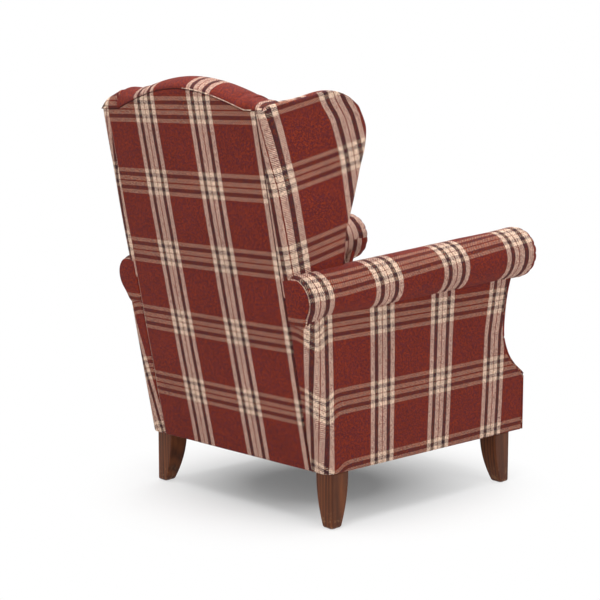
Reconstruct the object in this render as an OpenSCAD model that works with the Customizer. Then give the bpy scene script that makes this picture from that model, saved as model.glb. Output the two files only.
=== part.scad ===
// Fireside chair: a wing chair with a camel back, scroll arms and four tapered legs.
// The origin is on the floor under the middle of the chair. The sitter looks along -Y.
// Every piece of a pair is drawn on the sitter's left, at +X, and mirrored for the right.

/* [Body] */
// Depth at the floor of the body, from the front edge to the rear
base_d = 734; // [700:2:780]
// Height of the body's lower edge over the floor
leg_h = 136; // [110:1:170]
// Lean of the back from upright, in degrees
rake = 11.4; // [9:0.2:13]
// Rounding of the rear corners of the arms
arm_corner_r = 24; // [20:1:26]
// Thickness of the covers, with their wadding
cover = 4; // [3:0.5:5]

/* [Back] */
// Length of the rear panel at its shoulders, along the lean
shoulder_h = 871; // [820:1:920]
// Rise of the camel hump over the shoulders
hump_h = 51; // [30:1:70]
// Reach of the rear panel past each side of the seat
panel_lap = 36; // [32:1:38]
// Rise of the top cover over the panel's upper edge
crest_rise = 20; // [16:1:28]
// Distance of the crest in front of the rear face
crest_in = 45; // [40:1:55]
// Thickness of the back where it meets the seat
back_low_t = 207; // [190:1:215]
// Thickness of the back at its fullest, just over the seat
back_full_t = 226; // [215:1:235]
// Thickness of the back at the shoulders
back_top_t = 118; // [105:1:135]
// How far the pad's front falls back at its two sides
back_drop = 16; // [8:1:24]

/* [Wings] */
// Thickness of a wing, from the side of the seat to its outer face
wing_w = 68; // [64:1:71]
// Reach of the wing in front of the rear face
wing_reach = 316; // [280:2:340]
// Height of the wing's top along the lean
wing_top = 885; // [860:1:920]
// Rounding of the rear corners of the wings
wing_corner_r = 20; // [16:1:22]

/* [Arms] */
// Distance between the inner faces of the arms
seat_w = 472; // [420:2:560]
// Thickness of an arm's body, from the side of the seat to the outside arm panel
arm_w = 99; // [92:1:115]
// Radius of the scroll at its front end
roll_front_r = 72.5; // [66:0.5:78]
// Radius of the scroll at its rear end
roll_rear_r = 62; // [56:0.5:66]
// Height of the scroll's axis at the front end
roll_front_h = 610; // [580:1:640]
// Height of the scroll's axis at the rear end
roll_rear_h = 560; // [530:1:590]
// Reach of the scroll in front of the body
roll_nose = 23; // [10:1:35]
// Rounding of the scroll's front end
nose_r = 30; // [20:1:36]
// Height of the knee over the body's lower edge
knee_h = 155; // [140:1:170]
// Height of the deepest point of the hollow over the body's lower edge
neck_h = 306; // [290:1:330]
// Depth of the hollow behind the front edge
neck_in = 82; // [60:1:95]
// Radius of the hollow over the neck
brow_r = 296; // [260:2:340]
// Thickness of the arm facing, front to rear
facing_t = 15; // [12:0.5:18]

/* [Seat] */
// Height of the seat deck over the floor
deck_h = 302; // [290:1:320]
// Thickness of the loose cushion at its borders
cushion_t = 132; // [110:1:150]
// Rise of the cushion's crown
cushion_crown = 20; // [8:1:30]
// Number of zigzag springs
spring_count = 5; // [4:1:6]
// Thickness of the spring wire
wire_t = 4; // [3.5:0.1:4.5]

/* [Timber] */
// Width and depth of a back post
post_t = 40; // [34:1:42]
// Thickness of the side frames
side_t = 40; // [34:1:40]
// Height of the seat rails
rail_h = 92; // [80:1:100]
// Thickness of the front and rear seat rails
rail_t = 30; // [24:1:36]
// Thickness of an arm rail
arm_rail_t = 25; // [20:1:28]
// Thickness of a wing frame
wing_board_t = 18; // [15:1:20]

/* [Legs] */
// Width of a leg at its top
leg_top_w = 55.5; // [50:0.5:60]
// Width of a leg at the floor
leg_foot_w = 30; // [26:0.5:36]
// Distance of a leg's outer face inside the body's side
leg_inset = 5; // [3:0.5:10]
// Distance of the rear legs in front of the body's rear edge
leg_rear_in = 17; // [12:1:25]
// Distance of the front legs behind the body's front edge
leg_front_in = 53; // [40:1:60]
// Diameter of the hanger bolts
bolt_d = 8; // [6:0.5:10]

/* [Hidden] */

tartan = "#83382d";
timber = "#c9a574";
walnut = "#4c3022";
steel = "#b9bcc0";
foam = "#efe2bd";
black_cloth = "#222224";

// Gap that a soft piece keeps from its neighbours
fit = 0.3;
// Overrun of every cut
over = 60;
// Width over the outside arm panels
base_w = seat_w + 2 * arm_w;
// The camel hump is as wide as the seat
hump_w = seat_w;
// Half width at the outer face of the side frames
frame_x = base_w / 2 - cover;
side_in_x = frame_x - side_t;
seat_x = seat_w / 2;
wing_x = seat_x + wing_w;
panel_x = seat_x + panel_lap;

// Height of the crest's rear edge over the panel
crest_lip = 4;
// Reach of the back behind the foot of its rear face
back_reach = (shoulder_h + hump_h + crest_lip) * sin(rake);
// Reach of the tilted scroll's front end past its axis
nose_lean = (roll_front_r - nose_r) * (roll_front_h - roll_rear_h) / base_d;
rear_y = (base_d + roll_nose + nose_lean - back_reach) / 2;
front_y = rear_y - base_d;
nose_y = front_y - roll_nose;
rail_z = leg_h + 3 * cover / 4;
rail_top = rail_z + rail_h;

// Depths in front of the raked rear face
lining_in = cover;
post_in = 2 * cover;
post_front = post_in + post_t;
strap_t = 2;
pad_in = post_front + strap_t + fit;

// y of the raked plane that lies d in front of the rear face, at height z
function rear(z, d = 0) = rear_y + (z - leg_h) * tan(rake) - d / cos(rake);
// Distance along the lean of a point at height z and depth d
function lean(z, d = 0) = (z - leg_h - d * sin(rake)) / cos(rake);
// Upper edge of the rear panel along the lean
function seam(x) = shoulder_h + (abs(x) < hump_w / 2 ? hump_h * cos(180 * x / hump_w) : 0);

module in_back() translate([0, rear_y, leg_h]) rotate([-rake, 0, 0]) children();
// A side view outline, as (y, z), drawn between two distances from the middle
module side_slab(x0, x1) translate([x0, 0, 0]) rotate([90, 0, 90]) linear_extrude(x1 - x0) children();
module right() mirror([1, 0, 0]) children();
module both() {
    children();
    right() children();
}

// Skin through rings of the same number of points, in order, with flat ends
module loft(rings) {
    n = len(rings[0]);
    m = len(rings);
    sides = [for (k = [0 : m - 2], i = [0 : n - 1]) each let (j = (i + 1) % n, a = k * n, b = a + n)
        [[a + i, a + j, b + j], [a + i, b + j, b + i]]];
    first = [[for (i = [n - 1 : -1 : 0]) i]];
    last = [[for (i = [0 : n - 1]) (m - 1) * n + i]];
    polyhedron([for (r = rings) each r], concat(sides, first, last), convexity = 6);
}

// Box in the back's frame: x0 to x1, depth d0 to d1 in front of the rear face, z0 to z1 along the lean
module back_box(x0, x1, d0, d1, z0, z1) in_back()
    translate([x0, -d1, z0]) cube([x1 - x0, d1 - d0, z1 - z0]);

// Everything behind the plane that lies d in front of the rear face
module behind(d) back_box(-base_w, base_w, d - base_d, d, -base_d, 2 * base_d);

// Back posts: they stand on the level of the rails and carry the top rail
post_x = side_in_x - post_t;
post_top = 0.9 * shoulder_h;

module post(g = 0) difference() {
    back_box(post_x - g, side_in_x + g, post_in - g, post_front + g, -over, post_top + g);
    translate([0, rear_y - over, rail_z - g - 2 * over]) cube([base_w, 4 * over, 2 * over]);
}

module back_post() color(timber) post();

// Camel-shaped top rail on the two posts
rail_seam_gap = 2;
hump_steps = 32;

module camel(w, low, drop) polygon(concat([[w, low], [-w, low]],
    [for (k = [0 : hump_steps]) let (x = -w + 2 * w * k / hump_steps) [x, seam(x) - drop]]));

module camel_slab(w, low, drop, d0, d1) in_back()
    translate([0, -d0, 0]) rotate([90, 0, 0]) linear_extrude(d1 - d0) camel(w, low, drop);

module top_rail() color(timber)
    camel_slab(side_in_x, post_top, rail_seam_gap, post_in, post_front);

// Tack rail that holds the lower edge of the inside back
tack_h = 40;
tack_low = lean(deck_h, pad_in) + tack_h / 4;

module back_tack_rail() color(timber)
    back_box(-post_x, post_x, post_in, post_in + rail_t, tack_low, tack_low + tack_h);

// Seat rails
module front_rail() color(timber) translate([-side_in_x, front_y + facing_t, rail_z])
    cube([2 * side_in_x, rail_t, rail_h]);

module rear_rail() color(timber) side_slab(-post_x, post_x) polygon([
    [rear(rail_z, post_in), rail_z], [rear(rail_top, post_in), rail_top],
    [rear(rail_top, post_in + rail_t), rail_top], [rear(rail_z, post_in + rail_t), rail_z]]);

// The rear outer edge of the side frame is chamfered inside the rounded cover
chamfer = 0.75 * arm_corner_r;

module corner_relief() in_back() translate([0, 0, -over]) linear_extrude(base_d) polygon([
    [frame_x - chamfer, -post_in], [frame_x + over, -post_in - chamfer - over],
    [frame_x + over, over], [frame_x - chamfer, over]]);

// Centre of a leg, seen from above
leg_x = base_w / 2 - leg_inset - leg_top_w / 2;
leg_rear_y = rear_y - leg_rear_in - leg_top_w / 2;
leg_front_y = front_y + leg_front_in + leg_top_w / 2;
plate_t = 2.5;
plate_w = 0.9 * leg_top_w;
leg_top = rail_z - plate_t;
bolt_depth = 4.5 * bolt_d;
bolt_gap = 0.15;

module bolts(g = 0) both() for (y = [leg_front_y, leg_rear_y])
    translate([leg_x, y, leg_top - bolt_depth - g])
        cylinder(r = bolt_d / 2 + g, h = 2 * bolt_depth + plate_t + 2 * g, $fn = 32);

module leg_bolts() color(steel) bolts();

module side_rail() color(timber) difference() {
    side_slab(side_in_x, frame_x) polygon([
        [front_y + facing_t, rail_z], [rear(rail_z, post_in), rail_z],
        [rear(rail_top, post_in), rail_top], [front_y + facing_t, rail_top]]);
    corner_relief();
    bolts(bolt_gap);
    screws(bolt_gap);
}

// Hollow front profile of an arm: how far it lies behind the front edge at height z
knee_z = leg_h + knee_h;
neck_z = leg_h + neck_h;
hollow_r = (pow(neck_z - knee_z, 2) + pow(neck_in, 2)) / (2 * neck_in);
function hollow(z) = z < knee_z ? 0
    : z < neck_z ? neck_in - hollow_r + sqrt(pow(hollow_r, 2) - pow(neck_z - z, 2))
    : neck_in - brow_r + sqrt(pow(brow_r, 2) - pow(z - neck_z, 2));
arc_steps = 9;
// Points of the profile from height z0 up to z1, d behind the surface
function profile(z0, z1, d) = concat(z0 < knee_z ? [[front_y + d, z0]] : [],
    [for (k = [0 : arc_steps]) let (z = max(z0, knee_z) + (neck_z - max(z0, knee_z)) * k / arc_steps)
        [front_y + d + hollow(z), z]],
    [for (k = [1 : arc_steps]) let (z = neck_z + (z1 - neck_z) * k / arc_steps)
        [front_y + d + hollow(z), z]]);

// The scroll's axis climbs to the front, and its inner side stays in the plane of the inside arm
roll_end_y = rear(roll_rear_h);
function along(y) = (y - nose_y) / (roll_end_y - nose_y);
function axis_z(y) = roll_front_h + (roll_rear_h - roll_front_h) * along(y);
function roll_r(y) = roll_front_r + (roll_rear_r - roll_front_r) * along(y);

// Arm rail: it lies on the stump and the upright, and is notched round the back post
rail_lift = 0.5 * arm_rail_t;
arm_rail_x = side_in_x - 0.85 * arm_rail_t;
board_t = 15;
rail_nose = nose_y + nose_r + board_t;
function rail_line(y, d) = axis_z(y) - rail_lift + d;
rail_slope = (roll_rear_h - roll_front_h) / (roll_end_y - nose_y);
rail_tilt = atan(-rail_slope);
// y and z where the line d over the rail's underside meets the raked plane e in front of the rear
function rail_end(d, e) = let (y0 = rear(0, e), k = tan(rake), z0 = rail_line(0, d))
    let (z = (z0 + rail_slope * y0) / (1 - rail_slope * k)) [y0 + k * z, z];

module rail_body(g = 0) side_slab(arm_rail_x - g, frame_x + g) polygon([
    [rail_nose - g, rail_line(rail_nose, -g)], rail_end(-g, post_in - g),
    rail_end(arm_rail_t + g, post_in - g), [rail_nose - g, rail_line(rail_nose, arm_rail_t + g)]]);

module arm_rail() color(timber) difference() {
    rail_body();
    post();
}

// Stump with the hollow front, and raked rear upright, both between side rail and arm rail
stump_neck_d = 45;
stump_back = front_y + facing_t + neck_in + stump_neck_d;
// Height inside the scroll up to which the hollow is drawn
brow_z = roll_front_h - rail_lift - 0.2 * roll_front_r;

module stump_body(g = 0) {
    brow_y = front_y + facing_t + hollow(brow_z);
    side_slab(side_in_x - g, frame_x + g) polygon(concat(
        [[front_y + facing_t - g, rail_top]],
        profile(knee_z, brow_z, facing_t - g),
        [[brow_y - g, rail_line(brow_y, 0)],
        [stump_back + g, rail_line(stump_back, 0)], [stump_back + g, rail_top]]));
}

module arm_stump() color(timber) stump_body();

module upright_body(g = 0) difference() {
    side_slab(side_in_x - g, frame_x + g) polygon([
        [rear(rail_top, post_in - g), rail_top], rail_end(0, post_in - g),
        rail_end(0, post_front + g), [rear(rail_top, post_front + g), rail_top]]);
    corner_relief();
}

module arm_upright() color(timber) upright_body();

// Tack rail that holds the lower edge of the inside arm
inner_pad_t = 30;
arm_tack_x = seat_x + inner_pad_t;
arm_tack_z = deck_h - tack_h;

module arm_tack_rail() color(timber) side_slab(arm_tack_x, side_in_x) polygon([
    [front_y + facing_t + neck_in - stump_neck_d, arm_tack_z],
    [rear(arm_tack_z, post_front), arm_tack_z],
    [rear(deck_h, post_front), deck_h],
    [front_y + facing_t + neck_in - stump_neck_d, deck_h]]);

// Wing outline in the back's frame, as depth and height along the lean.
// The shares follow the wing's reach and the height of its free edge over the scroll.
wing_foot = lean(roll_rear_h);
wing_rise = wing_top - wing_foot;
wing_shares = [[0.576, 0.074], [0.62, 0.149], [0.652, 0.236], [0.712, 0.315], [0.797, 0.421], [0.896, 0.556],
    [0.965, 0.64], [1, 0.72], [0.995, 0.775], [0.96, 0.845], [0.9, 0.895], [0.82, 0.938], [0.7, 0.973],
    [0.57, 0.985], [0.36, 0.982], [0.18, 0.99]];
wing_rear_shares = [[0.07, 1], [0.02, 0.996], [0, 0.98]];
wing_foot_share = 0.57;
// Points of the outline that the shares give, drawn in to a share k
function wing_edge(shares, k) =
    [for (s = shares) [-wing_reach * s[0] * k, wing_foot + wing_rise * s[1] * k]];
// The lower edge, at two heights over the scroll's axis, from depth d at the rear to the front
function wing_base(k, d, low, fall) =
    [[-d, wing_foot + low], [-wing_reach * wing_foot_share * k, wing_foot + low - fall]];
function wing_outline(k, low, fall) =
    concat(wing_base(k, 0, low, fall), wing_edge(wing_shares, k), wing_edge(wing_rear_shares, k));

// A slab of a side view outline in the back's frame, between two distances from the middle
module back_slab(x0, x1) in_back() side_slab(x0, x1) children();

// Wing frame: a board with a window, on the arm rail and against the post
wing_board_x = side_in_x - 0.125 * post_t - wing_board_t;
wing_board_share = 0.915;
window_share = 0.56;

module wing_board(g = 0) difference() {
    back_slab(wing_board_x - g, wing_board_x + wing_board_t + g)
        intersection() {
            polygon(wing_outline(wing_board_share + g / wing_reach, -roll_rear_r / 2, 0));
            translate([-post_front - 2 * base_d + g, 0]) square(2 * base_d);
        }
    below_rail_top();
}

module below_rail_top() side_slab(0, base_w) polygon([
    [nose_y, rail_line(nose_y, arm_rail_t)], [nose_y, 0], [roll_end_y + over, 0],
    [roll_end_y + over, rail_line(roll_end_y + over, arm_rail_t)]]);

module wing_frame() color(timber) difference() {
    wing_board();
    back_slab(wing_board_x - over, wing_board_x + over)
        translate([-0.5 * wing_reach, wing_foot + window_share * wing_rise])
            scale(window_share)
                translate([0.5 * wing_reach, -wing_foot - window_share * wing_rise])
                    polygon(wing_outline(1, roll_rear_r, 0));
}

// Round board that closes the scroll's front end
board_r = roll_front_r - 0.75 * nose_r;

module board(g = 0) translate([seat_x + roll_r(rail_nose), rail_nose - board_t - g, axis_z(rail_nose)])
    rotate([-90, 0, 0]) cylinder(r = board_r + g, h = board_t + g, $fn = 48);

module scroll_board() color(timber) board();

// Corner blocks and their screws
block_w = 60;
block_h = 50;
screw_d = 4.5;
screw_head_d = 9;
screw_head_h = 3;
screw_sink = 10;
screw_grip = 20;
block_front = front_y + facing_t + rail_t;
block_rear = rear(rail_z, post_front);

module block(y, turn) translate([side_in_x, y, rail_z]) linear_extrude(block_h)
    polygon([[0, 0], [-block_w, 0], [0, turn * block_w]]);

module rear_block() difference() {
    rear_wedge();
    behind(post_front);
}

module rear_wedge() translate([side_in_x, block_rear, rail_z]) linear_extrude(block_h) polygon([
    [0, over / 4], [-block_w, over / 4], [-block_w, 0], [0, -block_w]]);

// One screw along +X into the side rail, at a given distance from the corner
module side_screw(y, inset, z, g = 0) translate([side_in_x, y, z]) rotate([0, 90, 0]) {
    translate([0, 0, -block_w + inset + screw_sink])
        cylinder(d = screw_d + 2 * g, h = block_w - inset - screw_sink + screw_grip, $fn = 24);
    translate([0, 0, -block_w + inset + screw_sink])
        cylinder(d = screw_head_d + 2 * g, h = screw_head_h, $fn = 24);
}

module screws(g = 0) both() for (z = [0.3, 0.7]) {
    side_screw(block_front + block_w / 4, block_w / 4, rail_z + z * block_h, g);
    side_screw(block_rear - block_w / 4, block_w / 4, rail_z + z * block_h, g);
}

module screw_wells() both() for (z = [0.3, 0.7], y = [block_front + block_w / 4, block_rear - block_w / 4])
    translate([side_in_x - block_w, y, rail_z + z * block_h]) rotate([0, 90, 0])
        cylinder(d = screw_head_d + 2 * bolt_gap, h = block_w / 4 + screw_sink + bolt_gap, $fn = 24);

module corner_blocks() color(timber) difference() {
    both() {
        block(block_front, 1);
        rear_block();
    }
    screws(bolt_gap);
    screw_wells();
}

module block_screws() color(steel) screws();

// Legs: the two outer faces are upright, the two inner ones curve in to the foot
leg_curve = leg_top_w - leg_foot_w;
leg_curve_r = (pow(leg_top, 2) + pow(leg_curve, 2)) / (2 * leg_curve);
glide_h = 3;
glide_d = 0.6 * leg_foot_w;

// A leg with its outer corner at x 0 and y 0, running to -X and +Y
module leg_shape() intersection() {
    translate([-leg_top_w, 0, glide_h]) cube([leg_top_w, leg_top_w, leg_top - glide_h]);
    translate([leg_curve_r - leg_top_w, -over, leg_top]) rotate([-90, 0, 0])
        cylinder(r = leg_curve_r, h = 3 * over, $fn = 180);
    translate([-2 * over, leg_top_w - leg_curve_r, leg_top]) rotate([0, 90, 0])
        cylinder(r = leg_curve_r, h = 3 * over, $fn = 180);
}

module leg_front() color(walnut) difference() {
    translate([base_w / 2 - leg_inset, front_y + leg_front_in, 0]) leg_shape();
    bolts(bolt_gap);
}

module leg_rear() color(walnut) difference() {
    translate([base_w / 2 - leg_inset, rear_y - leg_rear_in, 0]) mirror([0, 1, 0]) leg_shape();
    bolts(bolt_gap);
}

module leg_plates() color(steel) difference() {
    both() for (y = [leg_front_y, leg_rear_y])
        translate([leg_x - plate_w / 2, y - plate_w / 2, leg_top]) cube([plate_w, plate_w, plate_t]);
    bolts(bolt_gap);
}

// Round glides under the feet
foot_mid = base_w / 2 - leg_inset - leg_foot_w / 2;

module leg_glides() color(steel)
    both() for (y = [front_y + leg_front_in + leg_foot_w / 2, rear_y - leg_rear_in - leg_foot_w / 2])
        translate([foot_mid, y, 0]) cylinder(d = glide_d, h = glide_h, $fn = 48);

// Zigzag springs, front rail to rear rail, in clips on the rails
clip_y = front_y + facing_t + rail_t / 2;
clip_w = 22;
clip_d = 14;
clip_h = 2 * wire_t;
spring_z = rail_top + clip_h / 2;
spring_rear = rear(rail_top, post_in + rail_t / 2);
spring_w = 64;
turn_r = (spring_rear - clip_y) / 36;
turn_steps = 6;
spring_gap = 2 * post_x / (spring_count + 1);
function spring_x(k) = -post_x + spring_gap * (k + 1);
// Middle line of a spring: cross wires joined by half turns
spring_path = [for (n = [0 : 17]) each let (side = n % 2 == 0 ? 1 : -1, y = clip_y + 2 * turn_r * n)
    [for (a = [0 : turn_steps]) [side * (spring_w / 2 - turn_r + turn_r * sin(180 * a / turn_steps)),
        y + turn_r - turn_r * cos(180 * a / turn_steps)]]];
spring_line = concat([[-clip_w / 2, clip_y]], spring_path, [[clip_w / 2, spring_rear]]);
function unit(v) = v / norm(v);
function sides_of(path, d) = [for (i = [0 : len(path) - 1]) let (a = path[max(i - 1, 0)],
    b = path[min(i + 1, len(path) - 1)], t = unit(b - a)) path[i] + d * [-t[1], t[0]]];
function backwards(v) = [for (i = [len(v) - 1 : -1 : 0]) v[i]];

module seat_springs() color(steel) for (k = [0 : spring_count - 1])
    translate([spring_x(k), 0, spring_z - wire_t / 2]) linear_extrude(wire_t)
        polygon(concat(sides_of(spring_line, wire_t / 2), backwards(sides_of(spring_line, -wire_t / 2))));

clip_slot = wire_t + 2 * bolt_gap;

module spring_clips() color(steel) for (k = [0 : spring_count - 1], y = [clip_y, spring_rear])
    translate([spring_x(k), y, rail_top]) difference() {
        translate([-clip_w / 4, -clip_d / 2, 0]) cube([clip_w / 2, clip_d, clip_h]);
        translate([-clip_w, -clip_slot / 2, clip_h / 2 - clip_slot / 2])
            cube([2 * clip_w, clip_slot, clip_slot]);
    }

cloth_t = 2;
cover_z = rail_top + clip_h + fit;

soft_x = seat_x - fit;

module spring_cover() color("tan") translate([-soft_x, front_y + facing_t + fit, cover_z])
    cube([2 * soft_x, spring_rear - front_y - facing_t, cloth_t]);

deck_low = cover_z + cloth_t + fit;

module deck_pad() color(foam) side_slab(-soft_x, soft_x) polygon([
    [front_y + facing_t + fit, deck_low], [rear(deck_low, pad_in), deck_low],
    [rear(deck_h, pad_in), deck_h], [front_y + facing_t + fit, deck_h]]);

// Loose seat cushion: a boxed cover with a crown, round a foam core
cushion_gap = 2;
cushion_x = seat_x - cushion_gap;
cushion_front = front_y + facing_t / 3;
cushion_z = deck_h + fit;
cushion_back = rear(deck_h, back_low_t) - cushion_gap;
cushion_half_d = (cushion_back - cushion_front) / 2;
// Rise of the crown at shares u and v of the half sizes, none along the borders
function crown(u, v) = cushion_crown * (1 - pow(abs(u), 3)) * (1 - pow(abs(v), 3));
// How far the border is drawn in at half height
pull = 5;
// A ring of the cushion's outline, shrunk to a share, with rounded corners
cushion_steps = 40;
squareness = 7;
function boxed(a) = let (c = cos(a), s = sin(a))
    [c, s] / pow(pow(abs(c), squareness) + pow(abs(s), squareness), 1 / squareness);
function cushion_ring(share, z, drawn, lift) = [for (i = [0 : cushion_steps - 1])
    let (p = boxed(360 * i / cushion_steps), u = p[0] * share, v = p[1] * share)
    [u * (cushion_x - drawn), cushion_front + cushion_half_d + v * (cushion_half_d - drawn),
        z + lift * crown(u, v)]];

// Shares of the border's height, with the share of the pull there
border_shares = [[0.04, 0], [0.28, 0.8], [0.5, 1], [0.72, 0.8], [0.96, 0]];
base_shares = [0.4, 0.75, 0.97];
crown_shares = [0.97, 0.88, 0.74, 0.55, 0.35, 0.15];

module cushion_form() loft(concat(
    [for (s = base_shares) cushion_ring(s, cushion_z, 0, 0)],
    [for (b = border_shares) cushion_ring(1, cushion_z + cushion_t * b[0], pull * b[1], 0)],
    [for (s = crown_shares) cushion_ring(s, cushion_z + cushion_t, 0, 1)]));

core_in = 3 * cover;
core_r = 0.3 * cushion_half_d;
core_steps = 8;
// Rectangle of half sizes w and d with its corners rounded by r
function rounded(w, d, r) = [for (q = [0 : 3], k = [0 : core_steps]) let (a = 90 * (q + k / core_steps))
    [(q % 3 == 0 ? 1 : -1) * (w - r) + r * cos(a), (q < 2 ? 1 : -1) * (d - r) + r * sin(a)]];

module core(g = 0) translate([0, cushion_front + cushion_half_d, cushion_z + cover - g])
    linear_extrude(cushion_t - 2 * cover + 2 * g)
        polygon(rounded(cushion_x - core_in + g, cushion_half_d - core_in + g, core_r + g));

// Zip along the middle of the cushion's rear border
zip_half = 0.5 * cushion_x;
zip_h = 8;
zip_t = 3;

module zip_bar(reach, g = 0)
    translate([-zip_half - g, cushion_back - pull - reach, cushion_z + cushion_t / 2 - zip_h / 2 - g])
        cube([2 * (zip_half + g), reach, zip_h + 2 * g]);

module cushion_core() color(foam) core();

module cushion_zip() color(steel) zip_bar(zip_t);

module cushion_cover() color(tartan) difference() {
    cushion_form();
    core(fit);
    translate([0, pull + fit, 0]) zip_bar(2 * core_in, fit);
}

// Webbing across the posts
strap_w = 50;
strap_count = 5;
strap_step = (post_top - tack_low - tack_h) / strap_count;
strap_x = wing_board_x - strap_t;

module back_webbing() color("dimgray") for (k = [0 : strap_count - 1])
    back_box(-strap_x, strap_x, post_front, post_front + strap_t, tack_low + tack_h + strap_step * (k + 0.4),
        tack_low + tack_h + strap_step * (k + 0.4) + strap_w);

// Room that the pads leave behind them for the webbing
module webbing_space() back_box(0, strap_x + fit, -over, pad_in, -over, 2 * base_d);

// Lining between the posts and the outside back
module back_lining() color(foam)
    camel_slab(panel_x - wing_corner_r / 2, lean(rail_z), rail_seam_gap, lining_in, post_in - fit);

module outside_back() color(tartan) difference() {
    camel_slab(panel_x - fit, -over, 0, 0, cover);
    translate([-base_w, rear_y - over, leg_h - 2 * over]) cube([2 * base_w, 2 * over, 2 * over]);
}

// Inside back: thickness at a height over the deck, as shares of the full height
full_z = deck_h + 1.25 * cushion_t;
back_rows = 9;
function smooth(t) = t * t * (3 - 2 * t);
function back_t(zl) = let (a = lean(deck_h), b = lean(full_z), c = shoulder_h - crest_in)
    zl < b ? back_low_t + (back_full_t - back_low_t) * smooth(max(zl - a, 0) / (b - a))
    : back_full_t + (back_top_t - back_full_t) * pow(min((zl - b) / (c - b), 1), 0.85);
// The front falls back towards the sides, more so near the edges
function side_drop(x) = back_drop * (0.25 * pow(x / soft_x, 2) + 0.75 * pow(x / soft_x, 8));
top_arc = 8;
pad_floor = deck_h + fit;

function back_section(x) = let (top = seam(x) + crest_rise, low = pad_floor, drop = side_drop(x),
    front_top = back_t(shoulder_h) - drop, arc_h = 0.62 * back_top_t, z1 = top - arc_h)
    concat(
        [[x, 0, seam(x) + fit], [x, -pad_in, seam(x) + fit], [x, -pad_in, lean(low, pad_in)]],
        [for (k = [0 : back_rows]) let (t0 = back_low_t - drop, z0 = lean(low, t0),
            z = z0 + (z1 - z0) * k / back_rows) [x, -(back_t(z) - drop), z]],
        [for (k = [1 : top_arc]) let (a = 90 * k / top_arc) [x,
            -crest_in - (front_top - crest_in) * cos(a), z1 + arc_h * sin(a)]],
        [for (k = [1 : top_arc / 2]) let (a = 180 * k / top_arc) [x,
            -crest_in * (1 - sin(a)), top - (crest_rise - crest_lip) * (1 - cos(a))]]);

back_edge_shares = [1, 0.985, 0.93, 0.82];
back_x_shares = concat(-back_edge_shares, [for (k = [-7 : 7]) k / 10], backwards(back_edge_shares));

module inside_back() color(tartan) in_back()
    loft([for (s = back_x_shares) back_section(s * soft_x)]);

// Cover that runs up a side, round the rear corner and along the rear to the back panel
module wrap(x, r, g = 0) in_back() translate([0, 0, -base_d]) linear_extrude(3 * base_d) difference() {
    wrap_zone(x, r, 0);
    wrap_zone(x - cover - g, r - cover - g, cover + g);
    translate([panel_x - 2 * base_w - g, -base_d]) square([2 * base_w, 3 * base_d]);
}

module wrap_zone(x, r, d) {
    translate([0, -3 * base_d]) square([x, 3 * base_d - r - d]);
    translate([0, -base_d]) square([x - r, base_d - d]);
    translate([x - r, -r - d]) circle(r, $fn = 64);
}

// Arm scroll: a tapered roll round its axis, with a rounded front end and its rear end on the raked plane
end_in = cover + fit;
nose_steps = 6;
axis_run = [roll_rear_r - roll_front_r, roll_end_y - nose_y, roll_rear_h - roll_front_h];
function taper(z) = roll_front_r + (roll_rear_r - roll_front_r) * z / norm(axis_run);

module roll_cone(g = 0) translate([seat_x + roll_front_r, nose_y, roll_front_h])
    rotate([-90 - rail_tilt, 0, atan(-axis_run[0] / axis_run[1])])
        rotate_extrude($fn = 96) polygon(concat([[0, -g]],
            [for (k = [0 : nose_steps]) let (a = 90 * k / nose_steps, r = nose_r + g)
                [roll_front_r - nose_r + r * sin(a), nose_r - r * cos(a)]],
            [[taper(norm(axis_run) + over) + g, norm(axis_run) + over], [0, norm(axis_run) + over]]));

module roll_form(g = 0) difference() {
    roll_cone(g);
    behind(end_in);
}

module arm_roll() color(tartan) difference() {
    roll_form();
    webbing_space();
    rail_body(fit);
    stump_body(fit);
    upright_body(fit);
    post(fit);
    wing_board(fit);
    board(fit);
}

module arm_zone(x0, d) side_slab(x0, base_w) polygon(concat(profile(leg_h, neck_z + neck_h / 3, d),
    [[rail_end(0, 0)[0] + over, rail_end(0, 0)[1] - 0.5 * roll_rear_r], [rear(leg_h) + over, leg_h]]));

// Outside arm: side panel, rear corner, rear strip and the round rear end of the scroll
rear_disc_r = roll_rear_r - cover / 2;

module outside_arm() color(tartan) {
    difference() {
        intersection() {
            wrap(base_w / 2, arm_corner_r);
            arm_zone(0, facing_t);
        }
        roll_form(fit);
    }
    in_back() translate([seat_x + roll_rear_r, 0, lean(roll_rear_h)]) rotate([90, 0, 0])
        intersection() {
            cylinder(r = rear_disc_r, h = cover, $fn = 64);
            translate([panel_x - seat_x - roll_rear_r, -base_w, -over]) cube([base_w, 2 * base_w, 2 * over]);
        }
}

module inside_arm() color(tartan) difference() {
    side_slab(seat_x, arm_tack_x - fit) polygon(concat(
        profile(rail_top + cover, axis_z(front_y + neck_in) - 0.3 * roll_front_r, facing_t + fit),
        [rail_end(rail_lift - 0.3 * roll_rear_r, pad_in),
            [rear(rail_top + cover, pad_in), rail_top + cover]]));
    roll_form(fit);
}

module arm_facing() color(tartan) difference() {
    side_slab(seat_x, base_w / 2) polygon(concat(
        profile(leg_h, brow_z, 0), backwards(profile(leg_h, brow_z, facing_t))));
    roll_form(fit);
}

// Wing pad: the outline drawn in at its two faces, with its rear edge against the webbing
wing_panel_share = 0.985;
wing_outer = wing_x - cover - fit;
wing_t = wing_outer - seat_x;
wing_low = 0.45 * roll_rear_r;
wing_fall = 0.35 * roll_rear_r;
// Shares across the wing and of the outline, inner face to outer
wing_rings = [[0, 0.935], [0.04, 0.965], [0.12, 0.988], [0.3, 1], [0.62, 1], [0.8, 0.998], [0.92, 0.992],
    [1, wing_panel_share]];

function pad_outline(k) = concat(wing_base(k, pad_in, wing_low, wing_fall),
    [for (p = wing_edge(wing_shares, k)) [min(p[0], -pad_in - cover), p[1]]],
    [[-pad_in, wing_foot + wing_rise * k]]);

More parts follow.
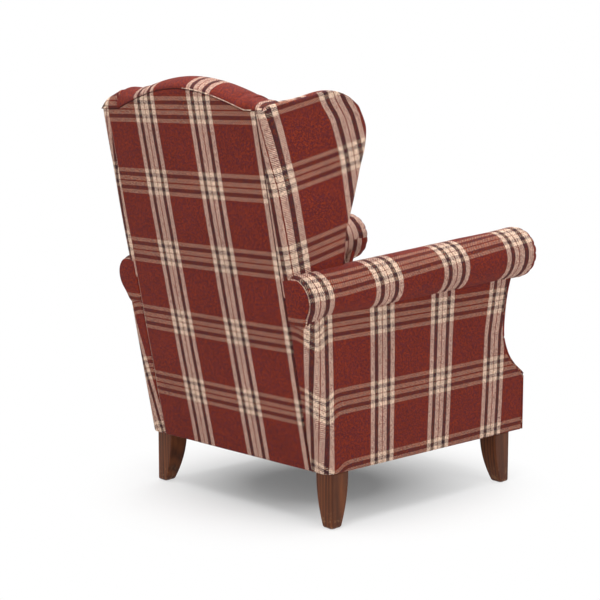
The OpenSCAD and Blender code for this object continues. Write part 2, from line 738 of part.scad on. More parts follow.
module wing_form() in_back() loft([for (w = wing_rings)
    [for (p = pad_outline(w[1])) [seat_x + wing_t * w[0], p[0], p[1]]]]);

module wing_pad() color(tartan) difference() {
    wing_form();
    wing_board(fit);
    roll_cone(fit);
}

// Outside wing: side panel, rear corner and rear strip, and the fold over the end of the top rail
module outside_wing() color(tartan) difference() {
    intersection() {
        union() {
            wrap(wing_x, wing_corner_r);
            back_box(seat_x, base_w, 0, pad_in - fit, shoulder_h + fit, 2 * base_d);
        }
        in_back() translate([0, 0, -base_d]) linear_extrude(3 * base_d) wrap_zone(wing_x, wing_corner_r, 0);
        back_slab(0, base_w) polygon(wing_outline(wing_panel_share, wing_low, wing_fall));
    }
    roll_cone(fit);
}

// Front border between the facings
border_t = 0.8 * facing_t;

module front_border() color(tartan) translate([-soft_x, front_y + facing_t - border_t, leg_h])
    cube([2 * soft_x, border_t - fit, deck_h - leg_h - fit]);

// Dust cover under the rails, cut out round the leg plates
dust_t = 1.5;
dust_edge = 6;

module dust_cover() color(black_cloth) difference() {
    translate([-frame_x + dust_edge, front_y + facing_t + dust_edge, rail_z - dust_t])
        cube([2 * (frame_x - dust_edge), rear(rail_z, post_in) - front_y - facing_t - 2 * dust_edge, dust_t]);
    both() for (y = [leg_front_y, leg_rear_y])
        translate([leg_x - leg_top_w / 2 - fit, y - leg_top_w / 2 - fit, rail_z - over])
            cube([leg_top_w + 2 * fit, leg_top_w + 2 * fit, 2 * over]);
}

back_post();  // back_post_left
right() back_post();  // back_post_right
top_rail();
back_tack_rail();
front_rail();
rear_rail();
side_rail();  // side_rail_left
right() side_rail();  // side_rail_right
arm_stump();  // arm_stump_left
right() arm_stump();  // arm_stump_right
arm_upright();  // arm_upright_left
right() arm_upright();  // arm_upright_right
arm_rail();  // arm_rail_left
right() arm_rail();  // arm_rail_right
arm_tack_rail();  // arm_tack_rail_left
right() arm_tack_rail();  // arm_tack_rail_right
wing_frame();  // wing_frame_left
right() wing_frame();  // wing_frame_right
scroll_board();  // scroll_board_left
right() scroll_board();  // scroll_board_right
corner_blocks();
block_screws();
leg_front();  // leg_front_left
right() leg_front();  // leg_front_right
leg_rear();  // leg_rear_left
right() leg_rear();  // leg_rear_right
leg_bolts();
leg_plates();
leg_glides();
seat_springs();
spring_clips();
spring_cover();
deck_pad();
cushion_core();
cushion_zip();
cushion_cover();
back_webbing();
back_lining();
inside_back();
outside_back();
wing_pad();  // wing_pad_left
right() wing_pad();  // wing_pad_right
outside_wing();  // outside_wing_left
right() outside_wing();  // outside_wing_right
arm_roll();  // arm_roll_left
right() arm_roll();  // arm_roll_right
inside_arm();  // inside_arm_left
right() inside_arm();  // inside_arm_right
arm_facing();  // arm_facing_left
right() arm_facing();  // arm_facing_right
outside_arm();  // outside_arm_left
right() outside_arm();  // outside_arm_right
front_border();
dust_cover();
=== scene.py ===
from math import cos, dist, exp, hypot, pi, radians, sin, sqrt, tan
import bpy
import bmesh
from mathutils import Matrix, Vector, noise


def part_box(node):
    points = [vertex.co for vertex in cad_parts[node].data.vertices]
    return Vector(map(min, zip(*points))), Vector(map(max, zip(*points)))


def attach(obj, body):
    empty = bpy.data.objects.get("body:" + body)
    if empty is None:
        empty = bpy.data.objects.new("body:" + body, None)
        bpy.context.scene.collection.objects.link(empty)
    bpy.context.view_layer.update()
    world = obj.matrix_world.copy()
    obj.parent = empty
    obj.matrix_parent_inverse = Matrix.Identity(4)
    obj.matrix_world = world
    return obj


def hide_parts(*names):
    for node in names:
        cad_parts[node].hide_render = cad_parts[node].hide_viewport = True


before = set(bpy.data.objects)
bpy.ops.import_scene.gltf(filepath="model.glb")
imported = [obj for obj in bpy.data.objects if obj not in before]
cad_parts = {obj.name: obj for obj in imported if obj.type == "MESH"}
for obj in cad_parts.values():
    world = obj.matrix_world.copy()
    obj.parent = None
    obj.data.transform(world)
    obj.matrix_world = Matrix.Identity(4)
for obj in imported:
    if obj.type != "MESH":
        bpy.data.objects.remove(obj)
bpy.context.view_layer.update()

# Sizes of the frame that the covers follow
RAKE = radians(11.4)
SIN = sin(RAKE)
COS = cos(RAKE)
LEG_H = 0.136
BODY_DEPTH = 0.734
FRONT_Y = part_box("arm_facing_left")[0].y
REAR_Y = FRONT_Y + BODY_DEPTH
COVER = 0.004
GAP = 0.0006
SEAT_X = 0.236
PANEL_X = 0.272
PANEL_EDGE = 0.2765
WING_X = 0.304
SIDE_X = 0.335
WING_CORNER = 0.020
ARM_CORNER = 0.024
PAD_IN = 0.0503
DECK_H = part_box("deck_pad")[1].z

# Camel back; a shoulder's knots are (x, height of its crest)
SHOULDER = 0.871
HUMP = 0.051
CREST_IN = 0.045
CREST_RISE = 0.020
BACK_LOW = 0.207
BACK_FULL = 0.226
BACK_TOP = 0.118
BACK_DROP = 0.016
LEFT_SHOULDER = [(0.236, 0.9145), (0.262, 0.905), (0.3, 0.893)]
RIGHT_SHOULDER = [(0.236, 0.895), (0.262, 0.8885), (0.3, 0.8855)]

# Scroll arms
ROLL_FRONT = 0.067
ROLL_REAR = 0.0575
ROLL_IN = 0.0045
ROLL_FRONT_H = 0.6145
ROLL_REAR_H = 0.559
NOSE_Y = FRONT_Y - 0.014
NOSE_R = 0.034
NOSE_PLEATS = 16
FACE_FOLD = 0.0012
NOSE_FOLD = 0.0027
ROLL_FOLD = 0.0019
END_R = 0.009
KNEE_Z = LEG_H + 0.155
NECK_Z = LEG_H + 0.306
NECK_IN = 0.082
BROW_R = 0.296
FACING = 0.015
FACING_COVER = 0.011
FACING_TOP = 0.575
FACING_SEAM_R = 0.0026

# Wings; a share is (of the reach forward, of the height from the arm to the top)
WING_REACH = 0.321
WING_TOP = 0.885
WING_SHARES = [(0.57, 0.03), (0.576, 0.074), (0.62, 0.149), (0.652, 0.236), (0.712, 0.315), (0.797, 0.421),
               (0.896, 0.556), (0.965, 0.64), (1, 0.72), (0.995, 0.775), (0.96, 0.845), (0.9, 0.895),
               (0.82, 0.938), (0.7, 0.973), (0.57, 0.985), (0.36, 0.982), (0.18, 0.99), (0.03, 0.99)]

# Loose seat cushion; its shares are the sizes of the rings of its two faces, beside the border's
CUSHION_X = SEAT_X - 0.0025
CUSHION_FRONT = FRONT_Y + FACING / 3
CUSHION_BACK = 0.1075
CUSHION_HALF_D = (CUSHION_BACK - CUSHION_FRONT) / 2
CUSHION_T = 0.133
CUSHION_Z = DECK_H + GAP
CUSHION_MOST_T = 0.150
CUSHION_SLACK = 0.0035
CUSHION_SQUARE = 16
CUSHION_ROUND = 200
UNDER_SHARES = (0.05, 0.2, 0.35, 0.5, 0.65, 0.8, 0.9, 0.96, 0.99)
BORDER_ROWS = 16
UPPER_SHARES = (0.985, 0.96, 0.93, 0.89, 0.84, 0.78, 0.7, 0.62, 0.53, 0.44, 0.35, 0.26, 0.17, 0.08)
WELT_R = 0.0034
PUFF_FRAMES = 20
PUFF_MOST = 0.022

# Tartan sett: its repeat across and along the cloth, the shares of the repeat that its outer pale, dark,
# inner pale and fine lines take, the share of weft on the face, and how dark it is between threads. The
# seat's cloth is set off its middle, and the front's is stretched upwards.
SETT_ACROSS = 0.205
SETT_ALONG = 0.1804
WARP_WIDTHS = (0.0645, 0.058, 0.066, 0.0155)
WEFT_WIDTHS = (0.057, 0.053, 0.059, 0.019)
HALF_GROUP = 0.0403
THREAD = 0.0014
WEFT_SHARE = 0.33
BETWEEN = 0.30
SEAT_CLOTH = 0.115
FRONT_STRETCH = 1.028
ROLL_BANDS = [(0.031, -SETT_ACROSS - HALF_GROUP), (0.089, -SETT_ACROSS), (0.330, 0), (0.571, SETT_ACROSS),
              (0.799, 2 * SETT_ACROSS)]

scene = bpy.context.scene


def srgb(red, green, blue):
    """A colour written in 0 to 255, as linear light."""
    parts = [((c / 255 + 0.055) / 1.055) ** 2.4 if c > 10 else c / 3294.6 for c in (red, green, blue)]
    return (*parts, 1)


def smooth(t):
    """A soft step from 0 to 1."""
    t = min(max(t, 0), 1)
    return t * t * (3 - 2 * t)


def mix(a, b, t):
    return a + (b - a) * t


def quarter_sin(share):
    """Sine at a share of a quarter turn."""
    return sin(pi / 2 * share)


def quarter_cos(share):
    """Cosine at a share of a quarter turn."""
    return cos(pi / 2 * share)


# Materials

WHITE = (1, 1, 1, 1)
GROUND = srgb(128, 43, 22)
WARP_LIGHT = srgb(254, 222, 198)
WEFT_LIGHT = srgb(254, 222, 187)
DARK = srgb(31, 44, 43)
FINE_RED = srgb(120, 38, 12)
PLUM = srgb(84, 34, 52)
EMBER = srgb(196, 76, 40)
YARN_SHADE = srgb(148, 139, 142)
BARE_WOOD = srgb(196, 160, 120)


def node(tree, kind, inputs=None, **settings):
    """A node with its plain settings; inputs holds values or sockets to link."""
    made = tree.nodes.new(kind)
    for name, value in settings.items():
        setattr(made, name, value)
    for name, value in (inputs or {}).items():
        socket = made.inputs[name]
        if isinstance(value, bpy.types.NodeSocket):
            tree.links.new(value, socket)
        else:
            socket.default_value = value
    return made


def output(tree, kind, inputs=None, **settings):
    """The first output of a new node."""
    return node(tree, kind, inputs, **settings).outputs[0]


def feed(tree, receiver, **sockets):
    """Links values to a node's inputs by their names, with _ for a space."""
    for label, value in sockets.items():
        tree.links.new(value, receiver.inputs[label.replace("_", " ")])


def calc(tree, operation, a, b=0.0, c=0.0):
    return output(tree, "ShaderNodeMath", {0: a, 1: b, 2: c}, operation=operation)


def times(tree, a, b):
    return calc(tree, "MULTIPLY", a, b)


def spread(tree, value, low, high, start=0.0, end=1.0):
    """The value's range from low to high, laid out from start to end."""
    return output(tree, "ShaderNodeMapRange", {0: value, 1: low, 2: high, 3: start, 4: end})


def cloudy(tree, place, scale, detail):
    return output(tree, "ShaderNodeTexNoise", {"Vector": place, "Scale": scale, "Detail": detail})


def own_place(tree):
    return node(tree, "ShaderNodeTexCoord").outputs["Object"]


def blend_colour(tree, share, a, b, mode="MIX"):
    return node(tree, "ShaderNodeMix", {0: share, 6: a, 7: b}, data_type="RGBA", blend_type=mode).outputs[2]


def ramp(tree, value, stops, interpolation="LINEAR"):
    made = node(tree, "ShaderNodeValToRGB", {0: value})
    made.color_ramp.interpolation = interpolation
    elements = made.color_ramp.elements
    while len(elements) < len(stops):
        elements.new(1)
    for element, (place, colour) in zip(elements, stops):
        element.position = place
        element.color = colour
    return made.outputs[0]


def new_group(name, inputs, outputs, kind="ShaderNodeTree"):
    """A node group with named sockets; gives the tree, the values that it is given, and its end node."""
    tree = bpy.data.node_groups.new(name, kind)
    for label, socket_kind, value in inputs:
        socket = tree.interface.new_socket(label, in_out="INPUT", socket_type=socket_kind)
        if value is not None:
            socket.default_value = value
    for label, socket_kind in outputs:
        tree.interface.new_socket(label, in_out="OUTPUT", socket_type=socket_kind)
    start = tree.nodes.new("NodeGroupInput")
    end = tree.nodes.new("NodeGroupOutput")
    return tree, start.outputs, end


def stripe_stops(pale, widths):
    """Stops of one stripe group, centred in its repeat."""
    light, dark, inner, fine = widths
    half = [(light, pale), (dark, DARK), (inner, pale)]
    lines = half + [(fine, FINE_RED)] + half[::-1]
    place = 0.5 - sum(width for width, _ in lines) / 2
    stops = [(0, GROUND)]
    for width, colour in lines:
        stops.append((place, colour))
        place += width
    return stops + [(place, GROUND)]


def build_tartan_group():
    """Woven tartan: threads of two stripe orders that pass over and under each other, with painted shade on
    the sunk threads and painted light on the raised ones.
    """
    tree, given, end = new_group(
        "tartan_weave", [("Cloth", "NodeSocketVector", None), ("Thread", "NodeSocketFloat", THREAD)],
        [("Color", "NodeSocketColor"), ("Height", "NodeSocketFloat"), ("Roughness", "NodeSocketFloat")])
    axes = node(tree, "ShaderNodeSeparateXYZ", {0: given["Cloth"]}).outputs
    orders = []
    for axis, repeat, stops in ((axes[0], SETT_ACROSS, stripe_stops(WARP_LIGHT, WARP_WIDTHS)),
                                (axes[1], SETT_ALONG, stripe_stops(WEFT_LIGHT, WEFT_WIDTHS))):
        place = calc(tree, "FRACT", calc(tree, "ADD", calc(tree, "DIVIDE", axis, repeat), 100.5))
        count = calc(tree, "DIVIDE", axis, given["Thread"])
        wave = calc(tree, "ABSOLUTE", calc(tree, "SINE", times(tree, count, pi)))
        orders.append((ramp(tree, place, stops, "CONSTANT"), count, wave))
    (warp, warp_count, warp_wave), (weft, weft_count, weft_wave) = orders

    def slub(count_a, count_b, seed, length, scale):
        """Noise drawn out along a thread."""
        place = output(tree, "ShaderNodeCombineXYZ", {0: count_a, 1: times(tree, count_b, length), 2: seed})
        return cloudy(tree, place, scale, 2.0)

    def spun(colour, count_a, count_b, seed):
        """Yarn of one order: uneven in tone along its length, with plum and ember flecks in the red."""
        green = node(tree, "ShaderNodeSeparateColor", {0: colour}).outputs[1]
        red_share = calc(tree, "SUBTRACT", 1.0, times(tree, green, 1.3))
        shade = ramp(tree, slub(count_a, count_b, seed, 0.5, 0.8), [(0.36, YARN_SHADE), (0.58, WHITE)])
        toned = blend_colour(tree, 1.0, colour, shade, "MULTIPLY")
        fleck = slub(count_a, count_b, seed + 7.3, 0.7, 0.6)
        plum = spread(tree, fleck, 0.52, 0.38, 0.0, 0.8)
        toned = blend_colour(tree, times(tree, plum, red_share), toned, PLUM)
        ember = spread(tree, fleck, 0.54, 0.66, 0.0, 0.5)
        return blend_colour(tree, times(tree, ember, red_share), toned, EMBER)

    warp_yarn = spun(warp, warp_count, weft_count, 2.0)
    weft_yarn = spun(weft, weft_count, warp_count, 5.0)
    step = calc(tree, "ADD", warp_count, calc(tree, "FLOOR", weft_count))
    twill = calc(tree, "FRACT", calc(tree, "MULTIPLY_ADD", step, 0.25, 100.0))
    over = calc(tree, "GREATER_THAN", twill, WEFT_SHARE)
    woven = blend_colour(tree, over, weft_yarn, warp_yarn)
    shaded = blend_colour(tree, 1.0, warp_yarn, weft_yarn, "DARKEN")
    woven = blend_colour(tree, BETWEEN, woven, shaded)
    # Painted shade: each thread's colour is darkened by its height where it sinks under the other order, and
    # lightened where it rides on top.
    sunk = times(tree, calc(tree, "SUBTRACT", 1.0, over), 0.45)
    upper = output(tree, "ShaderNodeMix", {0: over, 2: weft_wave, 3: warp_wave})
    height = calc(tree, "SUBTRACT", upper, sunk)
    light = calc(tree, "MULTIPLY_ADD", height, 0.46, 0.72)
    thread_gap_shade = output(tree, "ShaderNodeCombineColor", {0: light, 1: light, 2: light})
    feed(tree, end, Color=blend_colour(tree, 1.0, woven, thread_gap_shade, "MULTIPLY"), Height=height,
         Roughness=calc(tree, "MULTIPLY_ADD", height, -0.1, 0.92))
    return tree


def build_grain_group():
    """Wood grain that runs along one axis of the piece, with pores and slow changes of tone."""
    tree, given, end = new_group(
        "wood_grain", [("Place", "NodeSocketVector", None), ("Early", "NodeSocketColor", srgb(120, 84, 54)),
                       ("Late", "NodeSocketColor", srgb(70, 44, 28))],
        [("Color", "NodeSocketColor"), ("Height", "NodeSocketFloat")])
    streak = output(tree, "ShaderNodeTexNoise", {"Vector": given["Place"], "Scale": 1.0, "Detail": 5.0,
                                                 "Roughness": 0.6, "Distortion": 0.35})
    rings = node(tree, "ShaderNodeTexWave", {"Vector": given["Place"], "Scale": 0.32, "Distortion": 5.0,
                                             "Detail": 3.0, "Detail Scale": 0.8}).outputs[1]
    value = calc(tree, "ADD", times(tree, streak, 0.7), times(tree, rings, 0.3))
    tone = spread(tree, value, 0.3, 0.72)
    feed(tree, end, Color=blend_colour(tree, tone, given["Late"], given["Early"]), Height=value)
    return tree


def surface_material(name, roughness=0.5, metallic=0.0, **plain):
    """A material with its Principled shader; plain values are set on the shader's own sockets."""
    made = bpy.data.materials.new(name)
    made.use_nodes = True
    tree = made.node_tree
    shader = tree.nodes["Principled BSDF"]
    for label, value in {"Roughness": roughness, "Metallic": metallic, **plain}.items():
        shader.inputs[label.replace("_", " ")].default_value = value
    return made, tree, shader


def bump(tree, shader, height, distance, strength):
    feed(tree, shader, Normal=output(tree, "ShaderNodeBump",
                                     {"Strength": strength, "Distance": distance, "Height": height}))


def tartan_material(name, group):
    made, tree, shader = surface_material(name, Sheen_Weight=0.03, Sheen_Roughness=0.5,
                                          Specular_IOR_Level=0.12)
    cloth = output(tree, "ShaderNodeUVMap", uv_map="Cloth")
    weave = node(tree, "ShaderNodeGroup", node_tree=group)
    feed(tree, weave, Cloth=cloth)
    fade = spread(tree, cloudy(tree, own_place(tree), 7.0, 3.0), 0.3, 0.7, 0.93, 1.06)
    toned = output(tree, "ShaderNodeHueSaturation", {"Value": fade, "Color": weave.outputs["Color"]})
    feed(tree, shader, Base_Color=toned, Roughness=weave.outputs["Roughness"])
    bump(tree, shader, weave.outputs["Height"], distance=0.0005, strength=0.5)
    return made


def wood_material(name, group, early, late, scale, roughness, coat):
    """Wood with its grain along one axis, and scuffs low down."""
    made, tree, shader = surface_material(name, roughness, Coat_Weight=coat, Coat_Roughness=0.35,
                                          Specular_IOR_Level=0.2)
    spot = own_place(tree)
    place = output(tree, "ShaderNodeMapping", {"Vector": spot, "Scale": scale})
    grain = node(tree, "ShaderNodeGroup", node_tree=group)
    feed(tree, grain, Place=place)
    grain.inputs["Early"].default_value = early
    grain.inputs["Late"].default_value = late
    height = node(tree, "ShaderNodeSeparateXYZ", {0: spot}).outputs[2]
    low_down = spread(tree, height, 0.05, 0.004)
    scuff = spread(tree, cloudy(tree, spot, 85.0, 4.0), 0.54, 0.66)
    worn = times(tree, times(tree, low_down, scuff), 0.55)
    bare = blend_colour(tree, 0.5, early, BARE_WOOD)
    sheen = calc(tree, "MULTIPLY_ADD", grain.outputs["Height"], 0.2, roughness - 0.1)
    feed(tree, shader, Base_Color=blend_colour(tree, worn, grain.outputs["Color"], bare),
         Roughness=calc(tree, "MULTIPLY_ADD", worn, 0.5, sheen))
    bump(tree, shader, grain.outputs["Height"], distance=0.0002, strength=0.35)
    return made


def cloth_material(name, low, high, thread):
    """Plain woven cloth, from the piece's own place."""
    made, tree, shader = surface_material(name, 0.9, Specular_IOR_Level=0.2)
    spot = own_place(tree)
    axes = node(tree, "ShaderNodeSeparateXYZ", {0: spot}).outputs
    waves = [calc(tree, "SINE", times(tree, axis, pi / thread)) for axis in axes]
    weave = calc(tree, "MULTIPLY_ADD", waves[2], waves[0], times(tree, waves[0], waves[1]))
    value = calc(tree, "MULTIPLY_ADD", weave, 0.25, cloudy(tree, spot, 220.0, 3.0))
    feed(tree, shader, Base_Color=blend_colour(tree, spread(tree, value, 0.2, 0.85), low, high))
    bump(tree, shader, value, distance=0.0004, strength=0.6)
    return made


def metal_material(name, colour, roughness):
    made, tree, shader = surface_material(name, roughness, 1.0)
    scratch = cloudy(tree, own_place(tree), 160.0, 4.0)
    tone = spread(tree, scratch, 0.3, 0.7, 0.8, 1.1)
    feed(tree, shader, Base_Color=output(tree, "ShaderNodeHueSaturation", {"Value": tone, "Color": colour}),
         Roughness=calc(tree, "MULTIPLY_ADD", scratch, 0.3, roughness - 0.1))
    bump(tree, shader, scratch, distance=0.0002, strength=0.3)
    return made


weave_group = build_tartan_group()
grain_group = build_grain_group()
tartan = tartan_material("red_tartan", weave_group)
walnut = wood_material("stained_walnut", grain_group, srgb(112, 60, 30), srgb(72, 35, 15),
                       scale=(95, 95, 9), roughness=0.5, coat=0.03)
beech = wood_material("frame_beech", grain_group, srgb(214, 180, 134), srgb(182, 142, 96),
                      scale=(40, 8, 40), roughness=0.7, coat=0.0)
steel = metal_material("zinc_steel", srgb(186, 188, 190), roughness=0.38)
spring_steel = metal_material("blued_spring_steel", srgb(96, 98, 104), roughness=0.45)
hessian = cloth_material("jute_hessian", srgb(150, 118, 78), srgb(206, 176, 130), thread=0.003)
foam = cloth_material("cream_foam", srgb(226, 210, 168), srgb(244, 232, 198), thread=0.0022)
webbing = cloth_material("black_webbing", srgb(30, 30, 32), srgb(74, 72, 74), thread=0.0024)
# Dark thread for the back's seam stitches: its darkness is painted shade for the shadow in the seam's
# groove.
thread = cloth_material("seam_shade_thread", srgb(44, 20, 20), srgb(78, 34, 32), thread=0.0008)
zip_cloth = cloth_material("red_zip_tape", srgb(86, 26, 24), srgb(118, 38, 34), thread=0.0012)
dust_cloth = cloth_material("black_dust_cloth", srgb(20, 20, 22), srgb(46, 46, 48), thread=0.0016)


# Places on the chair and in its cloth


def laid(place, knots):
    """Place in the cloth for a place on the piece: straight between (place, cloth) knots and past them."""
    k = 0
    while k < len(knots) - 2 and place > knots[k + 1][0]:
        k += 1
    (p0, c0), (p1, c1) = knots[k], knots[k + 1]
    return c0 + (c1 - c0) * (place - p0) / (p1 - p0)


def back_cloth(x, zl):
    """Two whole stripe groups on the back, and the edges of the next ones at its seams."""
    middle = 0.117 + 0.0045 * min(max((zl - 0.355) / 0.275, -1), 1)
    right, left = HALF_GROUP - 2 * SETT_ACROSS, SETT_ACROSS - HALF_GROUP
    across = laid(x, [(-0.29, right - 0.0325), (-0.2575, right), (-0.2, -0.2 - middle), (0.2, 0.2 - middle),
                      (0.2715, left), (0.3, left + 0.0285)])
    return across, zl - 0.150


def side_cloth(y, z):
    """Cloth of an arm's side; its stripe groups drift with height, as it was pulled over the frame."""
    up = z - 0.235
    knots = [(-0.311 - 0.04 * up - 0.15 * max(0, z - 0.41), -3 * SETT_ACROSS),
             (-0.101 - 0.035 * up, -2 * SETT_ACROSS), (0.1065 + 0.01 * up, -SETT_ACROSS),
             (0.312 + 0.032 * up, 0)]
    return laid(y, knots), (z - 0.3125 - 0.010 * (0.05 - y)) * 1.013


def ring_cloth(ring, across, start):
    """Places in the cloth round a ring, as the cloth runs on over it."""
    arc, cloth = start, [(across, start)]
    for point, after in zip(ring, ring[1:] + ring[:1]):
        arc += dist(point, after)
        cloth.append((across, arc))
    return cloth


def back_point(x, depth, lean):
    """A point at x, at a depth in front of the raked rear face and a height along its lean."""
    return Vector((x, REAR_Y - depth * COS + lean * SIN, LEG_H + depth * SIN + lean * COS))


def lean_at(z, depth=0.0):
    return (z - LEG_H - depth * SIN) / COS


def rear_y(z):
    """Y of the raked rear face at height z."""
    return REAR_Y + (z - LEG_H) * tan(RAKE)


def seam_height(x):
    """Upper edge of the rear panel along the lean."""
    return SHOULDER + (HUMP * cos(pi * x / (2 * SEAT_X)) if abs(x) < SEAT_X else 0)


def drawn_in(z):
    """How far the facing's cloth is drawn in, behind the plain profile of the arm's front."""
    return 0.0095 * exp(-((z - 0.37) / 0.06) ** 2) * smooth((z - KNEE_Z) / 0.03)


def hollow(z):
    """How far the arm's front lies behind the front edge at height z."""
    radius = ((NECK_Z - KNEE_Z) ** 2 + NECK_IN ** 2) / (2 * NECK_IN)
    if z < KNEE_Z:
        return 0
    if z > NECK_Z:
        radius = BROW_R
    return NECK_IN - radius + sqrt(radius ** 2 - (NECK_Z - z) ** 2) + drawn_in(z)


def ripple(point, size, scale):
    """A small uneven swelling of the cloth."""
    return size * noise.noise(point * scale)


def wrap_place(half_width, radius, depth):
    """Place round a wrapped cover, from its depth in front of the rear face on the chair's side."""
    return depth + (half_width - radius - PANEL_X) + pi / 2 * radius - radius


def wrap_depth(half_width, radius, w):
    """Depth in front of the rear face, from the place round a wrapped cover."""
    return w - wrap_place(half_width, radius, 0)


def wrapped(side, half_width, radius, w, z, h):
    """A point of a cover that runs from the back panel's edge, round the rear corner and along the side."""
    past = w - (half_width - radius - PANEL_X)
    turn = min(max(past / radius, 0), pi / 2)
    lift = h - COVER
    x = half_width - radius * (1 - sin(turn)) + min(past, 0) + sin(turn) * lift
    depth = radius * (1 - cos(turn)) + max(past - pi / 2 * radius, 0) - cos(turn) * lift
    return back_point(side * x, depth, lean_at(z, depth))


# Making meshes


def into_scene(name, data):
    made = bpy.data.objects.new(name, data)
    scene.collection.objects.link(made)
    return made


def finish_mesh(name, points, faces, corner_uvs, material):
    mesh = bpy.data.meshes.new(name)
    mesh.from_pydata([tuple(p) for p in points], [], faces)
    layer = mesh.uv_layers.new(name="Cloth")
    layer.data.foreach_set("uv", [c for face in corner_uvs for uv in face for c in uv])
    work = bmesh.new()
    work.from_mesh(mesh)
    bmesh.ops.recalc_face_normals(work, faces=work.faces)
    work.to_mesh(mesh)
    work.free()
    for face in mesh.polygons:
        face.use_smooth = True
    mesh.materials.append(material)
    return into_scene(name, mesh)


def dress(piece, body="chair", stands_for=()):
    """The piece rides a body and hides the plain solids that it stands for."""
    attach(piece, body)
    if stands_for:
        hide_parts(*stands_for)
    return piece


def steps(count, edge):
    """Shares from 0 to 1, close together in the rounded edges."""
    start = [edge * (1 - quarter_cos(k / 5)) for k in range(6)]
    middle = [edge + (1 - 2 * edge) * k / count for k in range(1, count)]
    return start + middle + [1 - s for s in reversed(start)]


def roundness(share, edge):
    near = min(share, 1 - share, edge) / edge
    return sqrt(max(0, 1 - (1 - near) ** 2))


def panel(name, outline, place, cloth, thick, edges, counts, puff=0.0, crease=0.0004):
    """A padded panel: outline(a, b) gives its place in the piece, place(s, t, h) puts that in space."""
    across = steps(counts[0], edges[0])
    along = steps(counts[1], edges[1])
    points, uvs, outer, inner = [], [], {}, {}

    def add(s, t, h):
        points.append(place(s, t, h))
        uvs.append(cloth(s, t))
        return len(points) - 1

    for i, a in enumerate(across):
        for j, b in enumerate(along):
            s, t = outline(a, b)
            rounding = roundness(a, edges[0]) * roundness(b, edges[1])
            swell = puff * (sin(pi * a) * sin(pi * b)) ** 0.6
            wave = ripple(Vector((s, t, 0)), crease, 9.0) * rounding
            outer[i, j] = add(s, t, thick * rounding + swell + wave)
            border = i in (0, len(across) - 1) or j in (0, len(along) - 1)
            inner[i, j] = outer[i, j] if border else add(s, t, 0)
    faces = []
    for i in range(len(across) - 1):
        for j in range(len(along) - 1):
            quad = [(i, j), (i + 1, j), (i + 1, j + 1), (i, j + 1)]
            faces.append([outer[q] for q in quad])
            faces.append([inner[q] for q in reversed(quad)])
    return finish_mesh(name, points, faces, [[uvs[k] for k in face] for face in faces], tartan)


def tube(name, rings, cloth_rings, material=None):
    """A closed form through rings of points; each ring of cloth places has one more point than its ring."""
    count = len(rings[0])
    points = [p for ring in rings for p in ring]
    faces, corner_uvs = [], []
    for k in range(len(rings) - 1):
        low, high = cloth_rings[k], cloth_rings[k + 1]
        for i in range(count):
            j = (i + 1) % count
            faces.append([k * count + i, k * count + j, (k + 1) * count + j, (k + 1) * count + i])
            corner_uvs.append([low[i], low[i + 1], high[i + 1], high[i]])
    for k, way in ((0, -1), (len(rings) - 1, 1)):
        cloth = cloth_rings[k]
        centre_uv = tuple(sum(place[axis] for place in cloth) / len(cloth) for axis in (0, 1))
        points.append(sum(rings[k], Vector()) / count)
        for i in range(count):
            faces.append([k * count + i, k * count + (i + 1) % count, len(points) - 1][::way])
            corner_uvs.append([cloth[i], cloth[i + 1], centre_uv][::way])
    return finish_mesh(name, points, faces, corner_uvs, material or tartan)


def sheet_between(bottom, top, left, right):
    """A sheet between four border curves, each a function of a share."""
    def sheet(a, b):
        place = []
        for k in (0, 1):
            corner = mix(mix(bottom(0)[k], bottom(1)[k], a), mix(top(0)[k], top(1)[k], a), b)
            place.append(mix(bottom(a)[k], top(a)[k], b) + mix(left(b)[k], right(b)[k], a) - corner)
        return place
    return sheet


def spline(points, steps_each=8):
    """Smooth curve through the points."""
    last = len(points) - 1
    curve = []
    for k in range(last):
        near = [points[min(max(k + d, 0), last)] for d in (-1, 0, 1, 2)]
        for m in range(steps_each):
            t = m / steps_each
            curve.append(tuple(0.5 * (2 * q + (r - p) * t + (2 * p - 5 * q + 4 * r - s) * t * t
                                      + (3 * q - p - 3 * r + s) * t ** 3) for p, q, r, s in zip(*near)))
    return curve + [tuple(points[-1])]


def lengths_along(path):
    """Length of a path up to each of its points."""
    lengths = [0]
    for p, q in zip(path, path[1:]):
        lengths.append(lengths[-1] + dist(p, q))
    return lengths


def along_curve(points):
    """A function that gives the point at a share of the curve's length."""
    lengths = lengths_along(points)

    def at(share):
        goal = min(max(share, 0), 1) * lengths[-1]
        k = 0
        while k < len(lengths) - 2 and lengths[k + 1] < goal:
            k += 1
        t = (goal - lengths[k]) / max(lengths[k + 1] - lengths[k], 1e-9)
        return tuple(mix(p, q, t) for p, q in zip(points[k], points[k + 1]))
    return at


def evenly(path, spacing):
    """Places along a path with the direction of travel at each."""
    lengths = lengths_along(path)
    count = max(2, round(lengths[-1] / spacing))
    places, k = [], 0
    for i in range(count + 1):
        goal = lengths[-1] * i / count
        while k < len(path) - 2 and lengths[k + 1] < goal:
            k += 1
        step = path[k + 1] - path[k]
        places.append((path[k] + step * ((goal - lengths[k]) / max(step.length, 1e-9)), step.normalized()))
    return places


